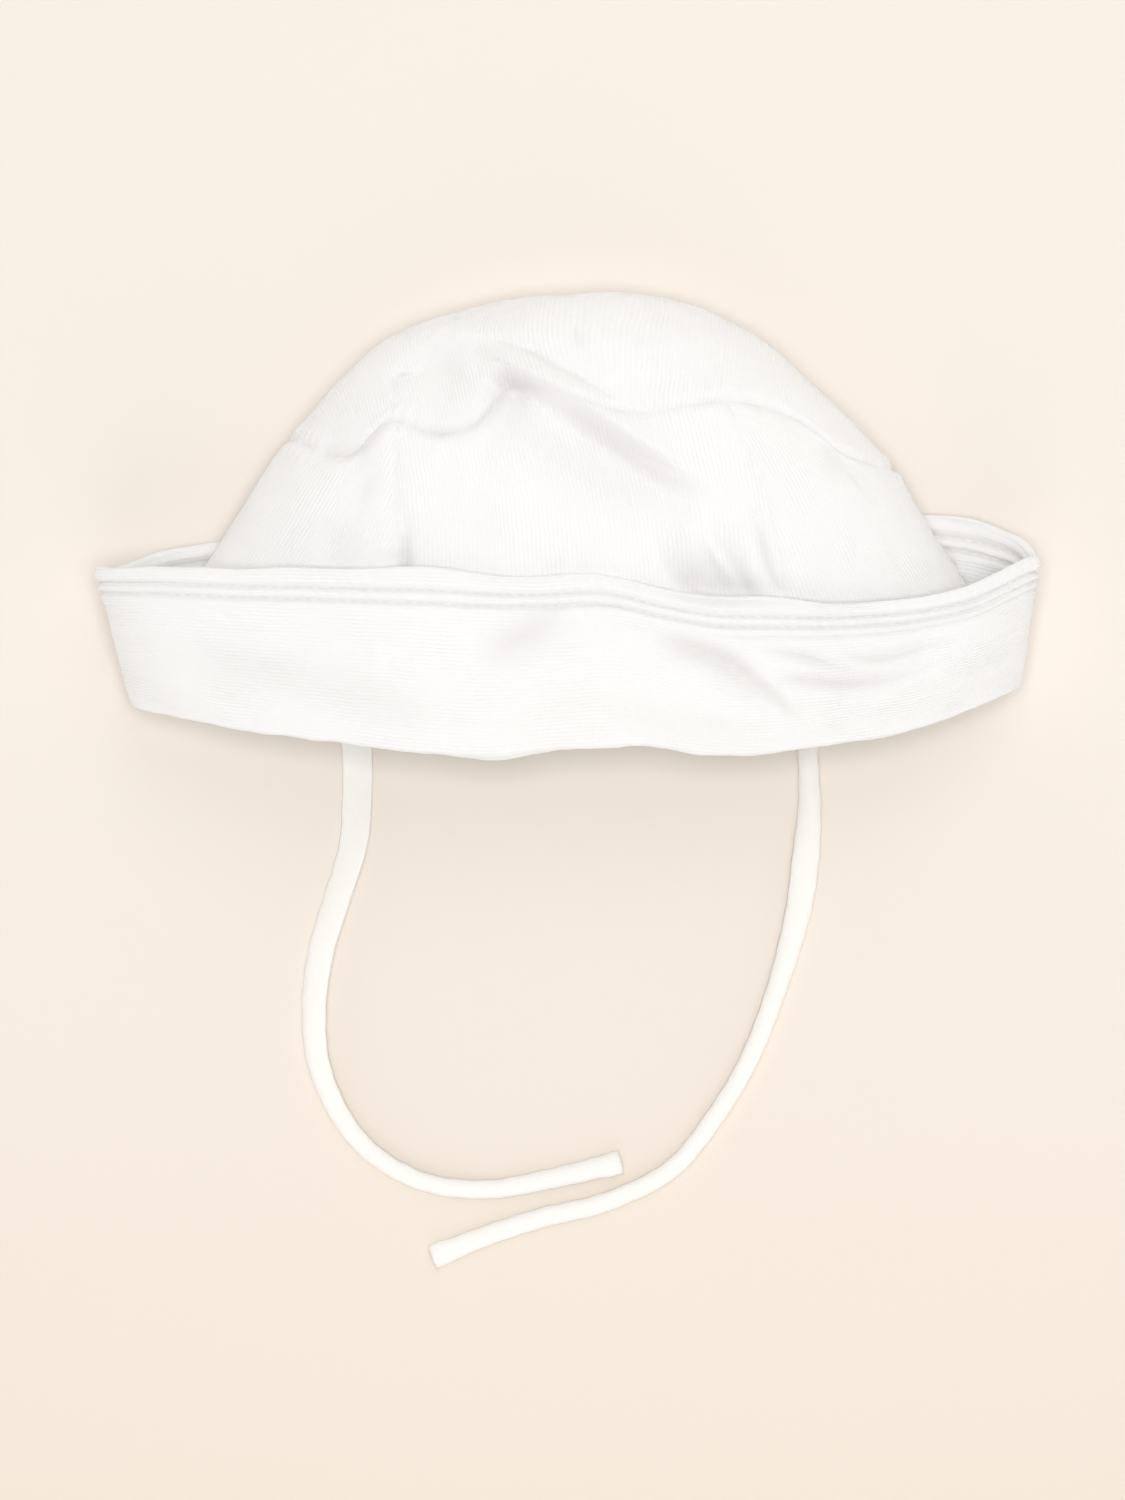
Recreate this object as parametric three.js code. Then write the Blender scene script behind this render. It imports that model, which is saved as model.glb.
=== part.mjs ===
// A baby's sailor cap in white ribbed cotton, lying on its back on a flat surface, with its front up.
// The crown is a side band of four sewn panels closed by a round top panel. A band of doubled cloth
// is sewn round the mouth and turned up as the brim, and two flat tapes are sewn inside the mouth.
// Millimetres. X runs along the mouth, Y from the mouth to the crown's top, Z up from the surface.

import * as THREE from "three";

// Driving dimensions
const mouthHalfWidth = 108; // from the cap's middle to the side fold, at the mouth
const crownLength = 113; // from the front of the mouth to the end of the crown, inside
const crownRise = 43; // the crown's rise inside, which the sections take shares of
const sideLevel = 10; // from the hollow's underside to the widest level of a section
const crownCloth = 1.2; // one layer with its seam allowances
const brimCloth = 2; // the brim's two layers
const brimHeight = 45; // from the mouth line to the stitched edge
const brimFlareLeft = 7.5; // how much wider the brim is at its edge than at its fold
const brimFlareRight = 3.5;
const brimLift = 3.5; // how far the brim's front stands off the crown's, halfway up
const seamLedge = 4; // from the mouth line to the seam that joins brim and crown
const foldRound = 1.6; // how far the fold rounds out past the mouth line
const seamGap = 0.3; // between two sewn pieces
const tieWidth = 7.5;
const tieThick = 1;
const frontSeamLeft = 40; // the front panel's seams, from the cap's middle, at the mouth
const frontSeamRight = 55;
const topSeamLeft = 41; // and where they meet the top panel
const topSeamRight = 41;
const backSeam = 46; // the back panel's seams, from the cap's middle
const frontOfMouth = -56.4; // where the front of the mouth lies on Y

// How finely the cloth is faceted
const panelColumns = { crown_front: 26, crown_left: 17, crown_back: 8, crown_right: 17 };
const panelRows = { crown_front: 18, crown_left: 9, crown_back: 6, crown_right: 18 };
const topRows = 10;
const brimRows = 8;
const roundSteps = 3;
const sectionSteps = 240;

// The hollow's underside lies on the brim's back and the crown's own wall.
const hollowFloor = brimCloth + seamGap + crownCloth;

// Sections across the crown, from mouth to end. turn is the share of a quarter turn, so the end is
// round. left, right and middle are shares of mouthHalfWidth, crest of crownRise and under of
// sideLevel.
const crownSections = [
  { turn: 0.0, left: 0.981, right: 1.017, middle: 0.0, crest: 0.8, under: 0 },
  { turn: 0.1, left: 0.963, right: 0.995, middle: 0.0, crest: 0.87, under: 0 },
  { turn: 0.2, left: 0.898, right: 0.94, middle: 0.01, crest: 0.9, under: 0 },
  { turn: 0.3, left: 0.792, right: 0.855, middle: 0.02, crest: 0.92, under: 0 },
  { turn: 0.4, left: 0.704, right: 0.762, middle: 0.03, crest: 0.92, under: 0 },
  { turn: 0.5, left: 0.609, right: 0.656, middle: 0.04, crest: 0.885, under: 0 },
  { turn: 0.6, left: 0.512, right: 0.546, middle: 0.05, crest: 0.825, under: 0 },
  { turn: 0.7, left: 0.417, right: 0.442, middle: 0.06, crest: 0.735, under: 0.01 },
  { turn: 0.8, left: 0.268, right: 0.33, middle: 0.066, crest: 0.6, under: 0.08 },
  { turn: 0.9, left: 0.115, right: 0.2, middle: 0.07, crest: 0.44, under: 0.35 },
  { turn: 1.0, left: -0.074, right: 0.074, middle: 0.074, crest: 0.25, under: 1 },
];

// The line of the mouth seen from above. across runs from the left side fold to the right one, and
// forward is the share of brimHeight that the fold lies behind the front of the mouth.
const mouthFront = [
  { across: -1.0, forward: 0.272 },
  { across: -0.8, forward: 0.175 },
  { across: -0.49, forward: 0.067 },
  { across: -0.19, forward: 0.0 },
  { across: -0.017, forward: 0.039 },
  { across: 0.165, forward: 0.056 },
  { across: 0.35, forward: 0.0 },
  { across: 0.53, forward: 0.05 },
  { across: 0.76, forward: 0.15 },
  { across: 1.0, forward: 0.372 },
];
const mouthBack = [
  { across: -1.0, forward: 0.272 },
  { across: -0.5, forward: 0.3 },
  { across: 0.5, forward: 0.33 },
  { across: 1.0, forward: 0.372 },
];

// The brim's stitched edge seen from above, in the same shares.
const edgeFront = [
  { across: -1.0, forward: 1.0 },
  { across: -0.57, forward: 0.984 },
  { across: -0.25, forward: 0.968 },
  { across: -0.016, forward: 0.934 },
  { across: 0.11, forward: 0.951 },
  { across: 0.24, forward: 0.87 },
  { across: 0.37, forward: 0.817 },
  { across: 0.625, forward: 0.802 },
  { across: 0.86, forward: 0.879 },
  { across: 1.0, forward: 1.06 },
];
const edgeBack = [
  { across: -1.0, forward: 1.0 },
  { across: -0.9, forward: 1.09 },
  { across: -0.75, forward: 1.163 },
  { across: -0.3, forward: 1.26 },
  { across: 0.3, forward: 1.32 },
  { across: 0.77, forward: 1.29 },
  { across: 0.93, forward: 1.18 },
  { across: 1.0, forward: 1.06 },
];

// The seam between the side band and the top panel. along is the share of crownLength, and across of
// mouthHalfWidth.
const topSeamFront = [
  { across: -0.64, along: 0.686 },
  { across: -0.508, along: 0.644 },
  { across: -0.416, along: 0.715 },
  { across: -0.35, along: 0.708 },
  { across: -0.289, along: 0.69 },
  { across: -0.215, along: 0.71 },
  { across: -0.13, along: 0.79 },
  { across: 0.0, along: 0.77 },
  { across: 0.15, along: 0.735 },
  { across: 0.37, along: 0.759 },
  { across: 0.507, along: 0.733 },
  { across: 0.567, along: 0.698 },
  { across: 0.626, along: 0.655 },
  { across: 0.74, along: 0.62 },
];
const topSeamBack = [
  { across: -0.64, along: 0.686 },
  { across: 0.0, along: 0.7 },
  { across: 0.74, along: 0.62 },
];

// Dents and folds of the crown's front, each along a line from one point to another. across and along
// are shares of mouthHalfWidth and crownLength, wide of crownLength and deep of crownRise.
const crownFolds = [
  { name: "slump", fromAcross: -0.154, fromAlong: 0.813, toAcross: 0.277, toAlong: 0.563, wide: 0.048, deep: 0.14 },
  { name: "pleat", fromAcross: -0.142, fromAlong: 0.85, toAcross: 0.27, toAlong: 0.625, wide: 0.034, deep: -0.06 },
  { name: "pleat_back", fromAcross: -0.153, fromAlong: 0.881, toAcross: 0.187, toAlong: 0.742, wide: 0.03, deep: 0.04 },
  { name: "bowl", fromAcross: -0.36, fromAlong: 0.82, toAcross: -0.26, toAlong: 0.825, wide: 0.07, deep: 0.09 },
  { name: "left_seam_dip", fromAcross: -0.53, fromAlong: 0.66, toAcross: -0.4, toAlong: 0.72, wide: 0.03, deep: 0.04 },
  { name: "right_seam_dip", fromAcross: 0.34, fromAlong: 0.76, toAcross: 0.56, toAlong: 0.7, wide: 0.03, deep: 0.04 },
  { name: "brim_hollow", fromAcross: 0.22, fromAlong: 0.375, toAcross: 0.43, toAlong: 0.34, wide: 0.05, deep: 0.1 },
  { name: "side_hollow", fromAcross: 0.39, fromAlong: 0.44, toAcross: 0.4, toAlong: 0.36, wide: 0.03, deep: 0.05 },
];

// Folds of the brim's front. across is a share of mouthHalfWidth, up of brimHeight from the front of
// the mouth, wide of brimHeight and deep of brimLift.
const brimFolds = [
  { name: "right_valley", fromAcross: 0.278, fromUp: 0.547, toAcross: 0.507, toUp: 0.222, wide: 0.085, deep: 0.6 },
  { name: "right_bump", fromAcross: 0.33, fromUp: 0.25, toAcross: 0.38, toUp: 0.05, wide: 0.12, deep: -0.45 },
  { name: "left_valley", fromAcross: -0.12, fromUp: 0.82, toAcross: -0.13, toUp: 0.6, wide: 0.16, deep: 0.35 },
  { name: "far_left_valley", fromAcross: -0.85, fromUp: 0.8, toAcross: -0.4, toUp: 0.2, wide: 0.2, deep: 0.4 },
  { name: "right_crumple", fromAcross: 0.46, fromUp: 0.6, toAcross: 0.85, toUp: 0.47, wide: 0.07, deep: 0.35 },
  { name: "middle_swell", fromAcross: 0.0, fromUp: 0.7, toAcross: 0.1, toUp: 0.3, wide: 0.3, deep: -0.4 },
];

// How square a section is: 2 is an ellipse, and more lies flatter with tighter sides.
const frontSquareness = 2.25;
const backSquareness = 3.4;

// The tapes' middle lines, from inside the mouth over the fold and along the surface.
const tieRoutes = {
  tie_left: [
    [-60, -32, 5.0],
    [-59, -37, 5.0],
    [-57, -42, 5.1],
    [-55.5, -46.5, 4.3],
    [-54, -51, 2.2],
    [-53, -57, 0.9],
    [-53, -68, 0.8],
    [-54, -80, 0.8],
    [-58, -93, 0.9],
    [-62, -106, 1.0],
    [-64, -120, 1.3],
    [-63, -135, 1.7],
    [-57, -149, 2.0],
    [-48, -159, 2.1],
    [-35, -165.5, 2.0],
    [-20, -167, 1.7],
    [-5, -164.5, 1.3],
    [13.5, -160, 0.8],
  ],
  tie_right: [
    [66, -31, 5.1],
    [65, -36, 5.1],
    [63.5, -41, 5.1],
    [62, -45.5, 4.3],
    [61, -50.5, 2.4],
    [60.6, -57, 1.5],
    [61, -70, 2.0],
    [60, -84, 2.4],
    [58, -98, 2.0],
    [53, -116, 1.7],
    [46, -134, 1.8],
    [37, -149, 2.0],
    [26, -162, 1.9],
    [10, -170, 1.6],
    [-6, -174, 1.3],
    [-20, -178.5, 1.0],
    [-34, -184, 0.8],
  ],
};
const tieStep = 7;

const mix = (a, b, share) => a + (b - a) * share;
const clamp = (value, low, high) => Math.min(Math.max(value, low), high);
const ease = (share) => share * share * (3 - 2 * share);

// A column of a table at any place along it, on a smooth curve through the rows.
function lookUp(table, key, column, at) {
  let low = 0;
  while (low < table.length - 2 && at > table[low + 1][key]) low += 1;
  const from = table[low];
  const to = table[low + 1];
  const before = table[Math.max(low - 1, 0)];
  const after = table[Math.min(low + 2, table.length - 1)];
  const span = to[key] - from[key];
  const share = clamp((at - from[key]) / span, 0, 1);
  const slopeIn = ((to[column] - before[column]) / (to[key] - before[key])) * span;
  const slopeOut = ((after[column] - from[column]) / (after[key] - from[key])) * span;
  const square = share * share;
  const cube = square * share;
  return (
    (2 * cube - 3 * square + 1) * from[column] +
    (cube - 2 * square + share) * slopeIn +
    (3 * square - 2 * cube) * to[column] +
    (cube - square) * slopeOut
  );
}

// A section's outline, from the right side fold over the front to the left and back underneath.
function outline(size) {
  const points = [];
  let length = 0;
  for (let i = 0; i <= sectionSteps; i += 1) {
    const angle = (2 * Math.PI * i) / sectionSteps;
    const front = Math.sin(angle) >= 0;
    const power = 2 / (front ? frontSquareness : backSquareness);
    const width = Math.cos(angle) >= 0 ? size.right - size.middle : size.left + size.middle;
    const x = size.middle + Math.sign(Math.cos(angle)) * width * Math.abs(Math.cos(angle)) ** power;
    const reach = front ? size.crest - size.side : size.under - size.side;
    const z = size.side + reach * Math.abs(Math.sin(angle)) ** power;
    if (i > 0) length += Math.hypot(x - points[i - 1].x, z - points[i - 1].z);
    points.push({ x, z, length });
  }
  return points;
}

// The point at a share of the way round an outline.
function roundOutline(points, share) {
  const length = points[sectionSteps].length * (share - Math.floor(share));
  let i = 1;
  while (i < sectionSteps && points[i].length < length) i += 1;
  const part = (length - points[i - 1].length) / (points[i].length - points[i - 1].length);
  return {
    x: mix(points[i - 1].x, points[i].x, part),
    z: mix(points[i - 1].z, points[i].z, part),
    length: points[sectionSteps].length,
  };
}

// The share of the way round at which an outline's front, or its back, has this x.
function shareAtX(points, x, onFront) {
  const half = sectionSteps / 2;
  const first = onFront ? 0 : half;
  let i = first + 1;
  while (i < first + half && (onFront ? points[i].x > x : points[i].x < x)) i += 1;
  const part = clamp((x - points[i - 1].x) / (points[i].x - points[i - 1].x), 0, 1);
  return mix(points[i - 1].length, points[i].length, part) / points[sectionSteps].length;
}

// The crown's section at a turn, grown outwards from the hollow by some thickness.
function crownSize(turn, grown) {
  return {
    left: mouthHalfWidth * lookUp(crownSections, "turn", "left", turn) + grown,
    right: mouthHalfWidth * lookUp(crownSections, "turn", "right", turn) + grown,
    middle: mouthHalfWidth * lookUp(crownSections, "turn", "middle", turn),
    crest: hollowFloor + crownRise * lookUp(crownSections, "turn", "crest", turn) + grown,
    under: undersideAt(turn) - grown,
    side: hollowFloor + sideLevel,
  };
}

const turnAt = (y) => Math.asin(clamp((y - frontOfMouth) / crownLength, 0, 1)) / (Math.PI / 2);
const yAt = (turn, grown) => frontOfMouth + (crownLength + grown) * Math.sin((turn * Math.PI) / 2);

// Past the brim's back edge the crown's wall comes down to the surface, and it rises at the end.
function undersideAt(turn) {
  const farthestEdge = Math.max(...edgeBack.map((row) => row.forward));
  const edge = turnAt(frontOfMouth + brimHeight * farthestEdge + 2 * brimCloth);
  const down = ease(clamp((turn - edge) / 0.12, 0, 1));
  const low = mix(hollowFloor, crownCloth, down);
  return mix(low, hollowFloor + sideLevel, lookUp(crownSections, "turn", "under", turn));
}

// How far a fold or dent pushes a point of the front down.
function foldDepth(folds, x, y, along, deepest) {
  let depth = 0;
  for (const fold of folds) {
    const from = new THREE.Vector2(
      fold.fromAcross * mouthHalfWidth,
      frontOfMouth + (fold.fromAlong ?? fold.fromUp) * along,
    );
    const to = new THREE.Vector2(
      fold.toAcross * mouthHalfWidth,
      frontOfMouth + (fold.toAlong ?? fold.toUp) * along,
    );
    const line = to.clone().sub(from);
    const point = new THREE.Vector2(x, y).sub(from);
    const share = clamp(point.dot(line) / line.lengthSq(), 0, 1);
    const away = point.sub(line.multiplyScalar(share)).length() / (fold.wide * along);
    depth += fold.deep * deepest * Math.exp(-away * away);
  }
  return depth;
}

// A point of the crown's wall: inside with grown 0, outside with grown crownCloth.
function crownPoint(turn, share, grown) {
  const size = crownSize(turn, grown);
  const at = roundOutline(outline(size), share);
  const y = yAt(turn, grown);
  const onFront = ease(clamp((at.z - size.side) / (0.5 * (size.crest - size.side) + 1), 0, 1));
  const dent = onFront * foldDepth(crownFolds, at.x, y, crownLength, crownRise);
  return [at.x, y, at.z - dent];
}

// The lines of the mouth and of the brim's edge on Y, at a share of the way round.
function lineAlong(share, points, size, front, back) {
  const at = roundOutline(points, share);
  const across = clamp(at.x / (at.x > 0 ? size.right : size.left), -1, 1);
  return frontOfMouth + brimHeight * lookUp(at.z > size.side ? front : back, "across", "forward", across);
}

const mouthSize = crownSize(0, 0);
const mouthOutline = outline(mouthSize);
const mouthY = (share) => lineAlong(share, mouthOutline, mouthSize, mouthFront, mouthBack);
const edgeY = (share) => lineAlong(share, mouthOutline, mouthSize, edgeFront, edgeBack);

// The turn at which a column of the crown meets the top seam.
function turnAtTopSeam(share, beyond) {
  let low = 0;
  let high = 1;
  for (let i = 0; i < 24; i += 1) {
    const turn = (low + high) / 2;
    const size = crownSize(turn, 0);
    const at = roundOutline(outline(size), share);
    const seam = at.z > size.side ? topSeamFront : topSeamBack;
    const across = clamp(at.x / mouthHalfWidth, seam[0].across, seam[seam.length - 1].across);
    const y = frontOfMouth + crownLength * lookUp(seam, "across", "along", across) + beyond;
    if (yAt(turn, 0) < y) low = turn;
    else high = turn;
  }
  return (low + high) / 2;
}

// The seams between the side band's panels, as shares of the way round at the mouth and at the top seam.
function seamShares() {
  const mouth = mouthOutline;
  const top = outline(crownSize(turnAt(frontOfMouth + 0.72 * crownLength), 0));
  const seams = [
    { mouthX: frontSeamRight, topX: topSeamRight, front: true },
    { mouthX: -frontSeamLeft, topX: -topSeamLeft, front: true },
    { mouthX: -backSeam, topX: -topSeamLeft, front: false },
    { mouthX: backSeam, topX: topSeamRight, front: false },
  ];
  return seams.map((seam) => ({
    mouth: shareAtX(mouth, seam.mouthX, seam.front),
    top: shareAtX(top, seam.topX, seam.front),
  }));
}

// Every column of the side band: which panel it belongs to, and its shares at the mouth and the top seam.
function bandColumns() {
  const seams = seamShares();
  const panels = ["crown_front", "crown_left", "crown_back", "crown_right"];
  const mouthLength = mouthOutline[sectionSteps].length;
  const topLength = outline(crownSize(0.5, 0))[sectionSteps].length;
  const columns = {};
  panels.forEach((panel, i) => {
    const from = seams[i];
    const to = seams[(i + 1) % panels.length];
    const wrap = i === panels.length - 1 ? 1 : 0;
    const inset = { mouth: seamGap / 2 / mouthLength, top: seamGap / 2 / topLength };
    columns[panel] = [];
    for (let c = 0; c <= panelColumns[panel]; c += 1) {
      const share = c / panelColumns[panel];
      columns[panel].push({
        mouth: mix(from.mouth + inset.mouth, to.mouth + wrap - inset.mouth, share),
        top: mix(from.top + inset.top, to.top + wrap - inset.top, share),
      });
    }
  });
  return columns;
}

// A closed mesh from rings of points: each ring joins the next, and the last joins the first.
function geometryFrom(points, triangles) {
  const geometry = new THREE.BufferGeometry();
  geometry.setAttribute("position", new THREE.Float32BufferAttribute(points.flat(), 3));
  geometry.setIndex(triangles);
  geometry.computeVertexNormals();
  return geometry;
}

const quad = (a, b, c, d) => [a, b, c, a, c, d];

// One panel of the side band: two grids of points, outside and inside, joined round their edges.
function panelGeometry(columns, bandRows) {
  const across = columns.length;
  const points = [];
  for (const grown of [crownCloth, 0]) {
    for (const column of columns) {
      const ledge = mix(mouthY(column.mouth), edgeY(column.mouth), seamLedge / brimHeight);
      const start = turnAt(ledge + seamGap);
      const end = turnAtTopSeam(column.top, -seamGap / 2);
      for (let row = 0; row <= bandRows; row += 1) {
        const up = row / bandRows;
        points.push(crownPoint(mix(start, end, up), mix(column.mouth, column.top, up), grown));
      }
    }
  }
  const at = (side, c, row) => (side * across + c) * (bandRows + 1) + row;
  const triangles = [];
  for (let c = 0; c < across - 1; c += 1) {
    for (let row = 0; row < bandRows; row += 1) {
      triangles.push(...quad(at(0, c, row), at(0, c, row + 1), at(0, c + 1, row + 1), at(0, c + 1, row)));
      triangles.push(...quad(at(1, c, row), at(1, c + 1, row), at(1, c + 1, row + 1), at(1, c, row + 1)));
    }
    triangles.push(...quad(at(0, c, 0), at(0, c + 1, 0), at(1, c + 1, 0), at(1, c, 0)));
    triangles.push(
      ...quad(at(0, c + 1, bandRows), at(0, c, bandRows), at(1, c, bandRows), at(1, c + 1, bandRows)),
    );
  }
  for (let row = 0; row < bandRows; row += 1) {
    const last = across - 1;
    triangles.push(...quad(at(0, 0, row + 1), at(0, 0, row), at(1, 0, row), at(1, 0, row + 1)));
    triangles.push(...quad(at(0, last, row), at(0, last, row + 1), at(1, last, row + 1), at(1, last, row)));
  }
  return geometryFrom(points, triangles);
}

// The top panel: a shell from the top seam to the crown's end, with a point of each wall at the end.
function topGeometry(columns) {
  const around = columns.length;
  const points = [];
  for (const grown of [crownCloth, 0]) {
    for (const column of columns) {
      const start = turnAtTopSeam(column.top, seamGap / 2);
      for (let row = 0; row < topRows; row += 1) {
        points.push(crownPoint(mix(start, 1, row / topRows), column.top, grown));
      }
    }
  }
  const at = (side, c, row) => (side * around + (c % around)) * topRows + row;
  const tips = [crownCloth, 0].map((grown) => points.push(crownPoint(1, 0, grown)) - 1);
  const triangles = [];
  for (let c = 0; c < around; c += 1) {
    for (let row = 0; row < topRows - 1; row += 1) {
      triangles.push(...quad(at(0, c, row), at(0, c, row + 1), at(0, c + 1, row + 1), at(0, c + 1, row)));
      triangles.push(...quad(at(1, c, row), at(1, c + 1, row), at(1, c + 1, row + 1), at(1, c, row + 1)));
    }
    const last = topRows - 1;
    triangles.push(at(0, c, last), tips[0], at(0, c + 1, last));
    triangles.push(at(1, c, last), at(1, c + 1, last), tips[1]);
    triangles.push(...quad(at(0, c + 1, 0), at(1, c + 1, 0), at(1, c, 0), at(0, c, 0)));
  }
  return geometryFrom(points, triangles);
}

// The brim's section at a height up from the mouth line, grown outwards from the hollow.
function brimSize(up, grown) {
  const share = clamp(up / brimHeight, 0, 1);
  const stand = brimLift * Math.sin(Math.PI * share * 0.93);
  const crestTurn = turnAt(frontOfMouth + brimHeight * share);
  return {
    left: mouthSize.left + brimFlareLeft * share + grown,
    right: mouthSize.right + brimFlareRight * share + grown,
    middle: mouthSize.middle,
    crest: crownSize(crestTurn, 0).crest + stand + grown,
    under: hollowFloor - grown,
    side: mouthSize.side + sideLevel * share,
  };
}

// A point of the brim: up from the mouth line, and grown outwards from the hollow.
function brimPoint(share, up, grown) {
  const size = brimSize(up, grown);
  const at = roundOutline(outline(size), share);
  const y = up < 0 ? mouthY(share) + up : mix(mouthY(share), edgeY(share), up / brimHeight);
  const onFront = ease(clamp((at.z - size.side) / (0.5 * (size.crest - size.side)), 0, 1));
  const free = ease(clamp(up / (0.25 * brimHeight), 0, 1));
  const dent = onFront * free * foldDepth(brimFolds, at.x, y, brimHeight, brimLift);
  return [at.x, y, at.z - dent];
}

// The brim's profile as [up, grown] pairs: round the fold, up the outside, over the edge and down the
// inside to the ledge on which the crown's wall stands.
function brimProfile() {
  const inside = crownCloth + seamGap;
  const outside = inside + brimCloth;
  const profile = [];
  for (let i = 0; i <= roundSteps; i += 1) {
    const angle = (Math.PI * i) / roundSteps;
    profile.push([-foldRound * Math.sin(angle), (outside * (1 - Math.cos(angle))) / 2]);
  }
  for (let row = 1; row <= brimRows; row += 1) {
    profile.push([(brimHeight * row) / brimRows, outside]);
  }
  profile.push([brimHeight + brimCloth / 4, (inside + outside) / 2]);
  for (let row = brimRows; row >= 1; row -= 1) {
    profile.push([mix(seamLedge, brimHeight, row / brimRows), inside]);
  }
  profile.push([seamLedge, inside]);
  profile.push([seamLedge, 0]);
  return profile;
}

// The brim as one ring of doubled cloth.
function brimGeometry(columns) {
  const profile = brimProfile();
  const around = columns.length;
  const points = columns.flatMap((column) => profile.map(([up, grown]) => brimPoint(column.mouth, up, grown)));
  const at = (c, i) => (c % around) * profile.length + (i % profile.length);
  const triangles = [];
  for (let c = 0; c < around; c += 1) {
    for (let i = 0; i < profile.length; i += 1) {
      triangles.push(...quad(at(c, i), at(c, i + 1), at(c + 1, i + 1), at(c + 1, i)));
    }
  }
  return geometryFrom(points, triangles);
}

// A tape: a flat section with rounded edges, drawn along its route.
function tieGeometry(route) {
  const line = new THREE.CatmullRomCurve3(route.map((point) => new THREE.Vector3(...point)));
  const w = tieWidth / 2;
  const t = tieThick / 2;
  const corner = t / 2;
  const section = new THREE.Shape([
    new THREE.Vector2(-t, -w + corner),
    new THREE.Vector2(-t + corner, -w),
    new THREE.Vector2(t - corner, -w),
    new THREE.Vector2(t, -w + corner),
    new THREE.Vector2(t, w - corner),
    new THREE.Vector2(t - corner, w),
    new THREE.Vector2(-t + corner, w),
    new THREE.Vector2(-t, w - corner),
  ]);
  const steps = Math.round(line.getLength() / tieStep);
  return new THREE.ExtrudeGeometry(section, { extrudePath: line, steps, bevelEnabled: false });
}

// Materials
const crownCotton = new THREE.MeshStandardMaterial({ color: 0xf8f6f2, roughness: 0.9, metalness: 0 });
const brimCotton = new THREE.MeshStandardMaterial({ color: 0xf7f5f1, roughness: 0.9, metalness: 0 });
const tapeCotton = new THREE.MeshStandardMaterial({ color: 0xf9f6ef, roughness: 0.85, metalness: 0 });

// The cap, put together
function named(name, geometry, material) {
  const mesh = new THREE.Mesh(geometry, material);
  mesh.name = name;
  return mesh;
}

const cap = new THREE.Group();
const columns = bandColumns();
for (const [panel, panelShares] of Object.entries(columns)) {
  cap.add(named(panel, panelGeometry(panelShares, panelRows[panel]), crownCotton));
}
const ringColumns = Object.values(columns).flatMap((panelShares) => panelShares.slice(0, -1));
cap.add(named("crown_top", topGeometry(ringColumns), crownCotton));
cap.add(named("brim", brimGeometry(ringColumns), brimCotton));
for (const [name, route] of Object.entries(tieRoutes)) {
  cap.add(named(name, tieGeometry(route), tapeCotton));
}

export default cap;
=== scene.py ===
"""A baby's sailor cap in white ribbed cotton, lying on its back, built up piece by piece."""

import math

import bmesh
import bpy
import numpy as np
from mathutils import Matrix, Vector, noise


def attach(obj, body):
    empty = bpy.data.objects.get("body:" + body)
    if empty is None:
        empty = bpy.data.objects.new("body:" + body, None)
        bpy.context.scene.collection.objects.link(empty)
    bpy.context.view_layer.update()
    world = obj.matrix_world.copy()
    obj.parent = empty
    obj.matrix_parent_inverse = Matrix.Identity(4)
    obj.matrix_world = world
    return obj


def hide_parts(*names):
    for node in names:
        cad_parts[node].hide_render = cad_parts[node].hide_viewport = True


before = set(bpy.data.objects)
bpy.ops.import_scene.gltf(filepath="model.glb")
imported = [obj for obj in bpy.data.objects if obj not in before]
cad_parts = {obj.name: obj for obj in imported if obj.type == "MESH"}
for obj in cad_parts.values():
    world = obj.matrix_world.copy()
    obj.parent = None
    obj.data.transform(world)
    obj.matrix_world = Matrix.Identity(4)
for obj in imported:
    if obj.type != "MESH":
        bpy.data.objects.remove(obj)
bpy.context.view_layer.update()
MM = 0.001


# The table and the camera.
# The cap lies on a smooth cream table top, and the camera looks straight down on it from above, so
# that its rectangle takes in the two tapes below the cap.
# The table is painted darker and warmer towards its near side, a painted shade for the light falling
# off there.
table_far = (0.877, 0.812, 0.747, 1.0)
table_near_painted_shade = (0.84, 0.757, 0.658, 1.0)
table_painted_shade_fade = (-0.25, -0.04)
table_half = 9.0
table_drop = 0.0002
camera_height = 1.412
camera_middle = (-0.00125, -0.05625)
lens = 134.4


def node(tree, kind, values=(), **settings):
    """A shader node with its settings and its sockets' values or links."""
    made = tree.nodes.new(kind)
    for key, value in settings.items():
        setattr(made, key, value)
    for socket, value in dict(values).items():
        if isinstance(value, bpy.types.NodeSocket):
            tree.links.new(value, made.inputs[socket])
        else:
            made.inputs[socket].default_value = value
    return made


top = bmesh.new()
bmesh.ops.create_grid(top, x_segments=2, y_segments=2, size=table_half)
bmesh.ops.translate(top, verts=top.verts, vec=(0, 0, -table_drop))
table_mesh = bpy.data.meshes.new("table_top")
top.to_mesh(table_mesh)
top.free()
table = bpy.data.objects.new("table_top", table_mesh)
bpy.context.scene.collection.objects.link(table)

cream = bpy.data.materials.new("cream_table")
cream.use_nodes = True
tree = cream.node_tree
shader = tree.nodes["Principled BSDF"]
place = node(tree, "ShaderNodeSeparateXYZ", {0: node(tree, "ShaderNodeTexCoord").outputs["Object"]})
away = node(
    tree, "ShaderNodeMapRange",
    {"Value": place.outputs["Y"], "From Min": table_painted_shade_fade[0], "From Max": table_painted_shade_fade[1]},
)
# Painted shade: the table's colour fades from its near shade to its far colour along Y.
table_painted_shade = node(
    tree, "ShaderNodeMix", {0: away.outputs["Result"], 6: table_near_painted_shade, 7: table_far},
    data_type="RGBA",
)
tree.links.new(table_painted_shade.outputs[2], shader.inputs["Base Color"])
shader.inputs["Roughness"].default_value = 0.7
shader.inputs["Specular IOR Level"].default_value = 0.2
table_mesh.materials.append(cream)

camera = bpy.data.objects.new("camera", bpy.data.cameras.new("camera"))
camera.data.lens = lens
camera.data.sensor_width = 36
camera.location = (camera_middle[0], camera_middle[1], camera_height)
bpy.context.scene.collection.objects.link(camera)
bpy.context.scene.camera = camera


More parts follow.
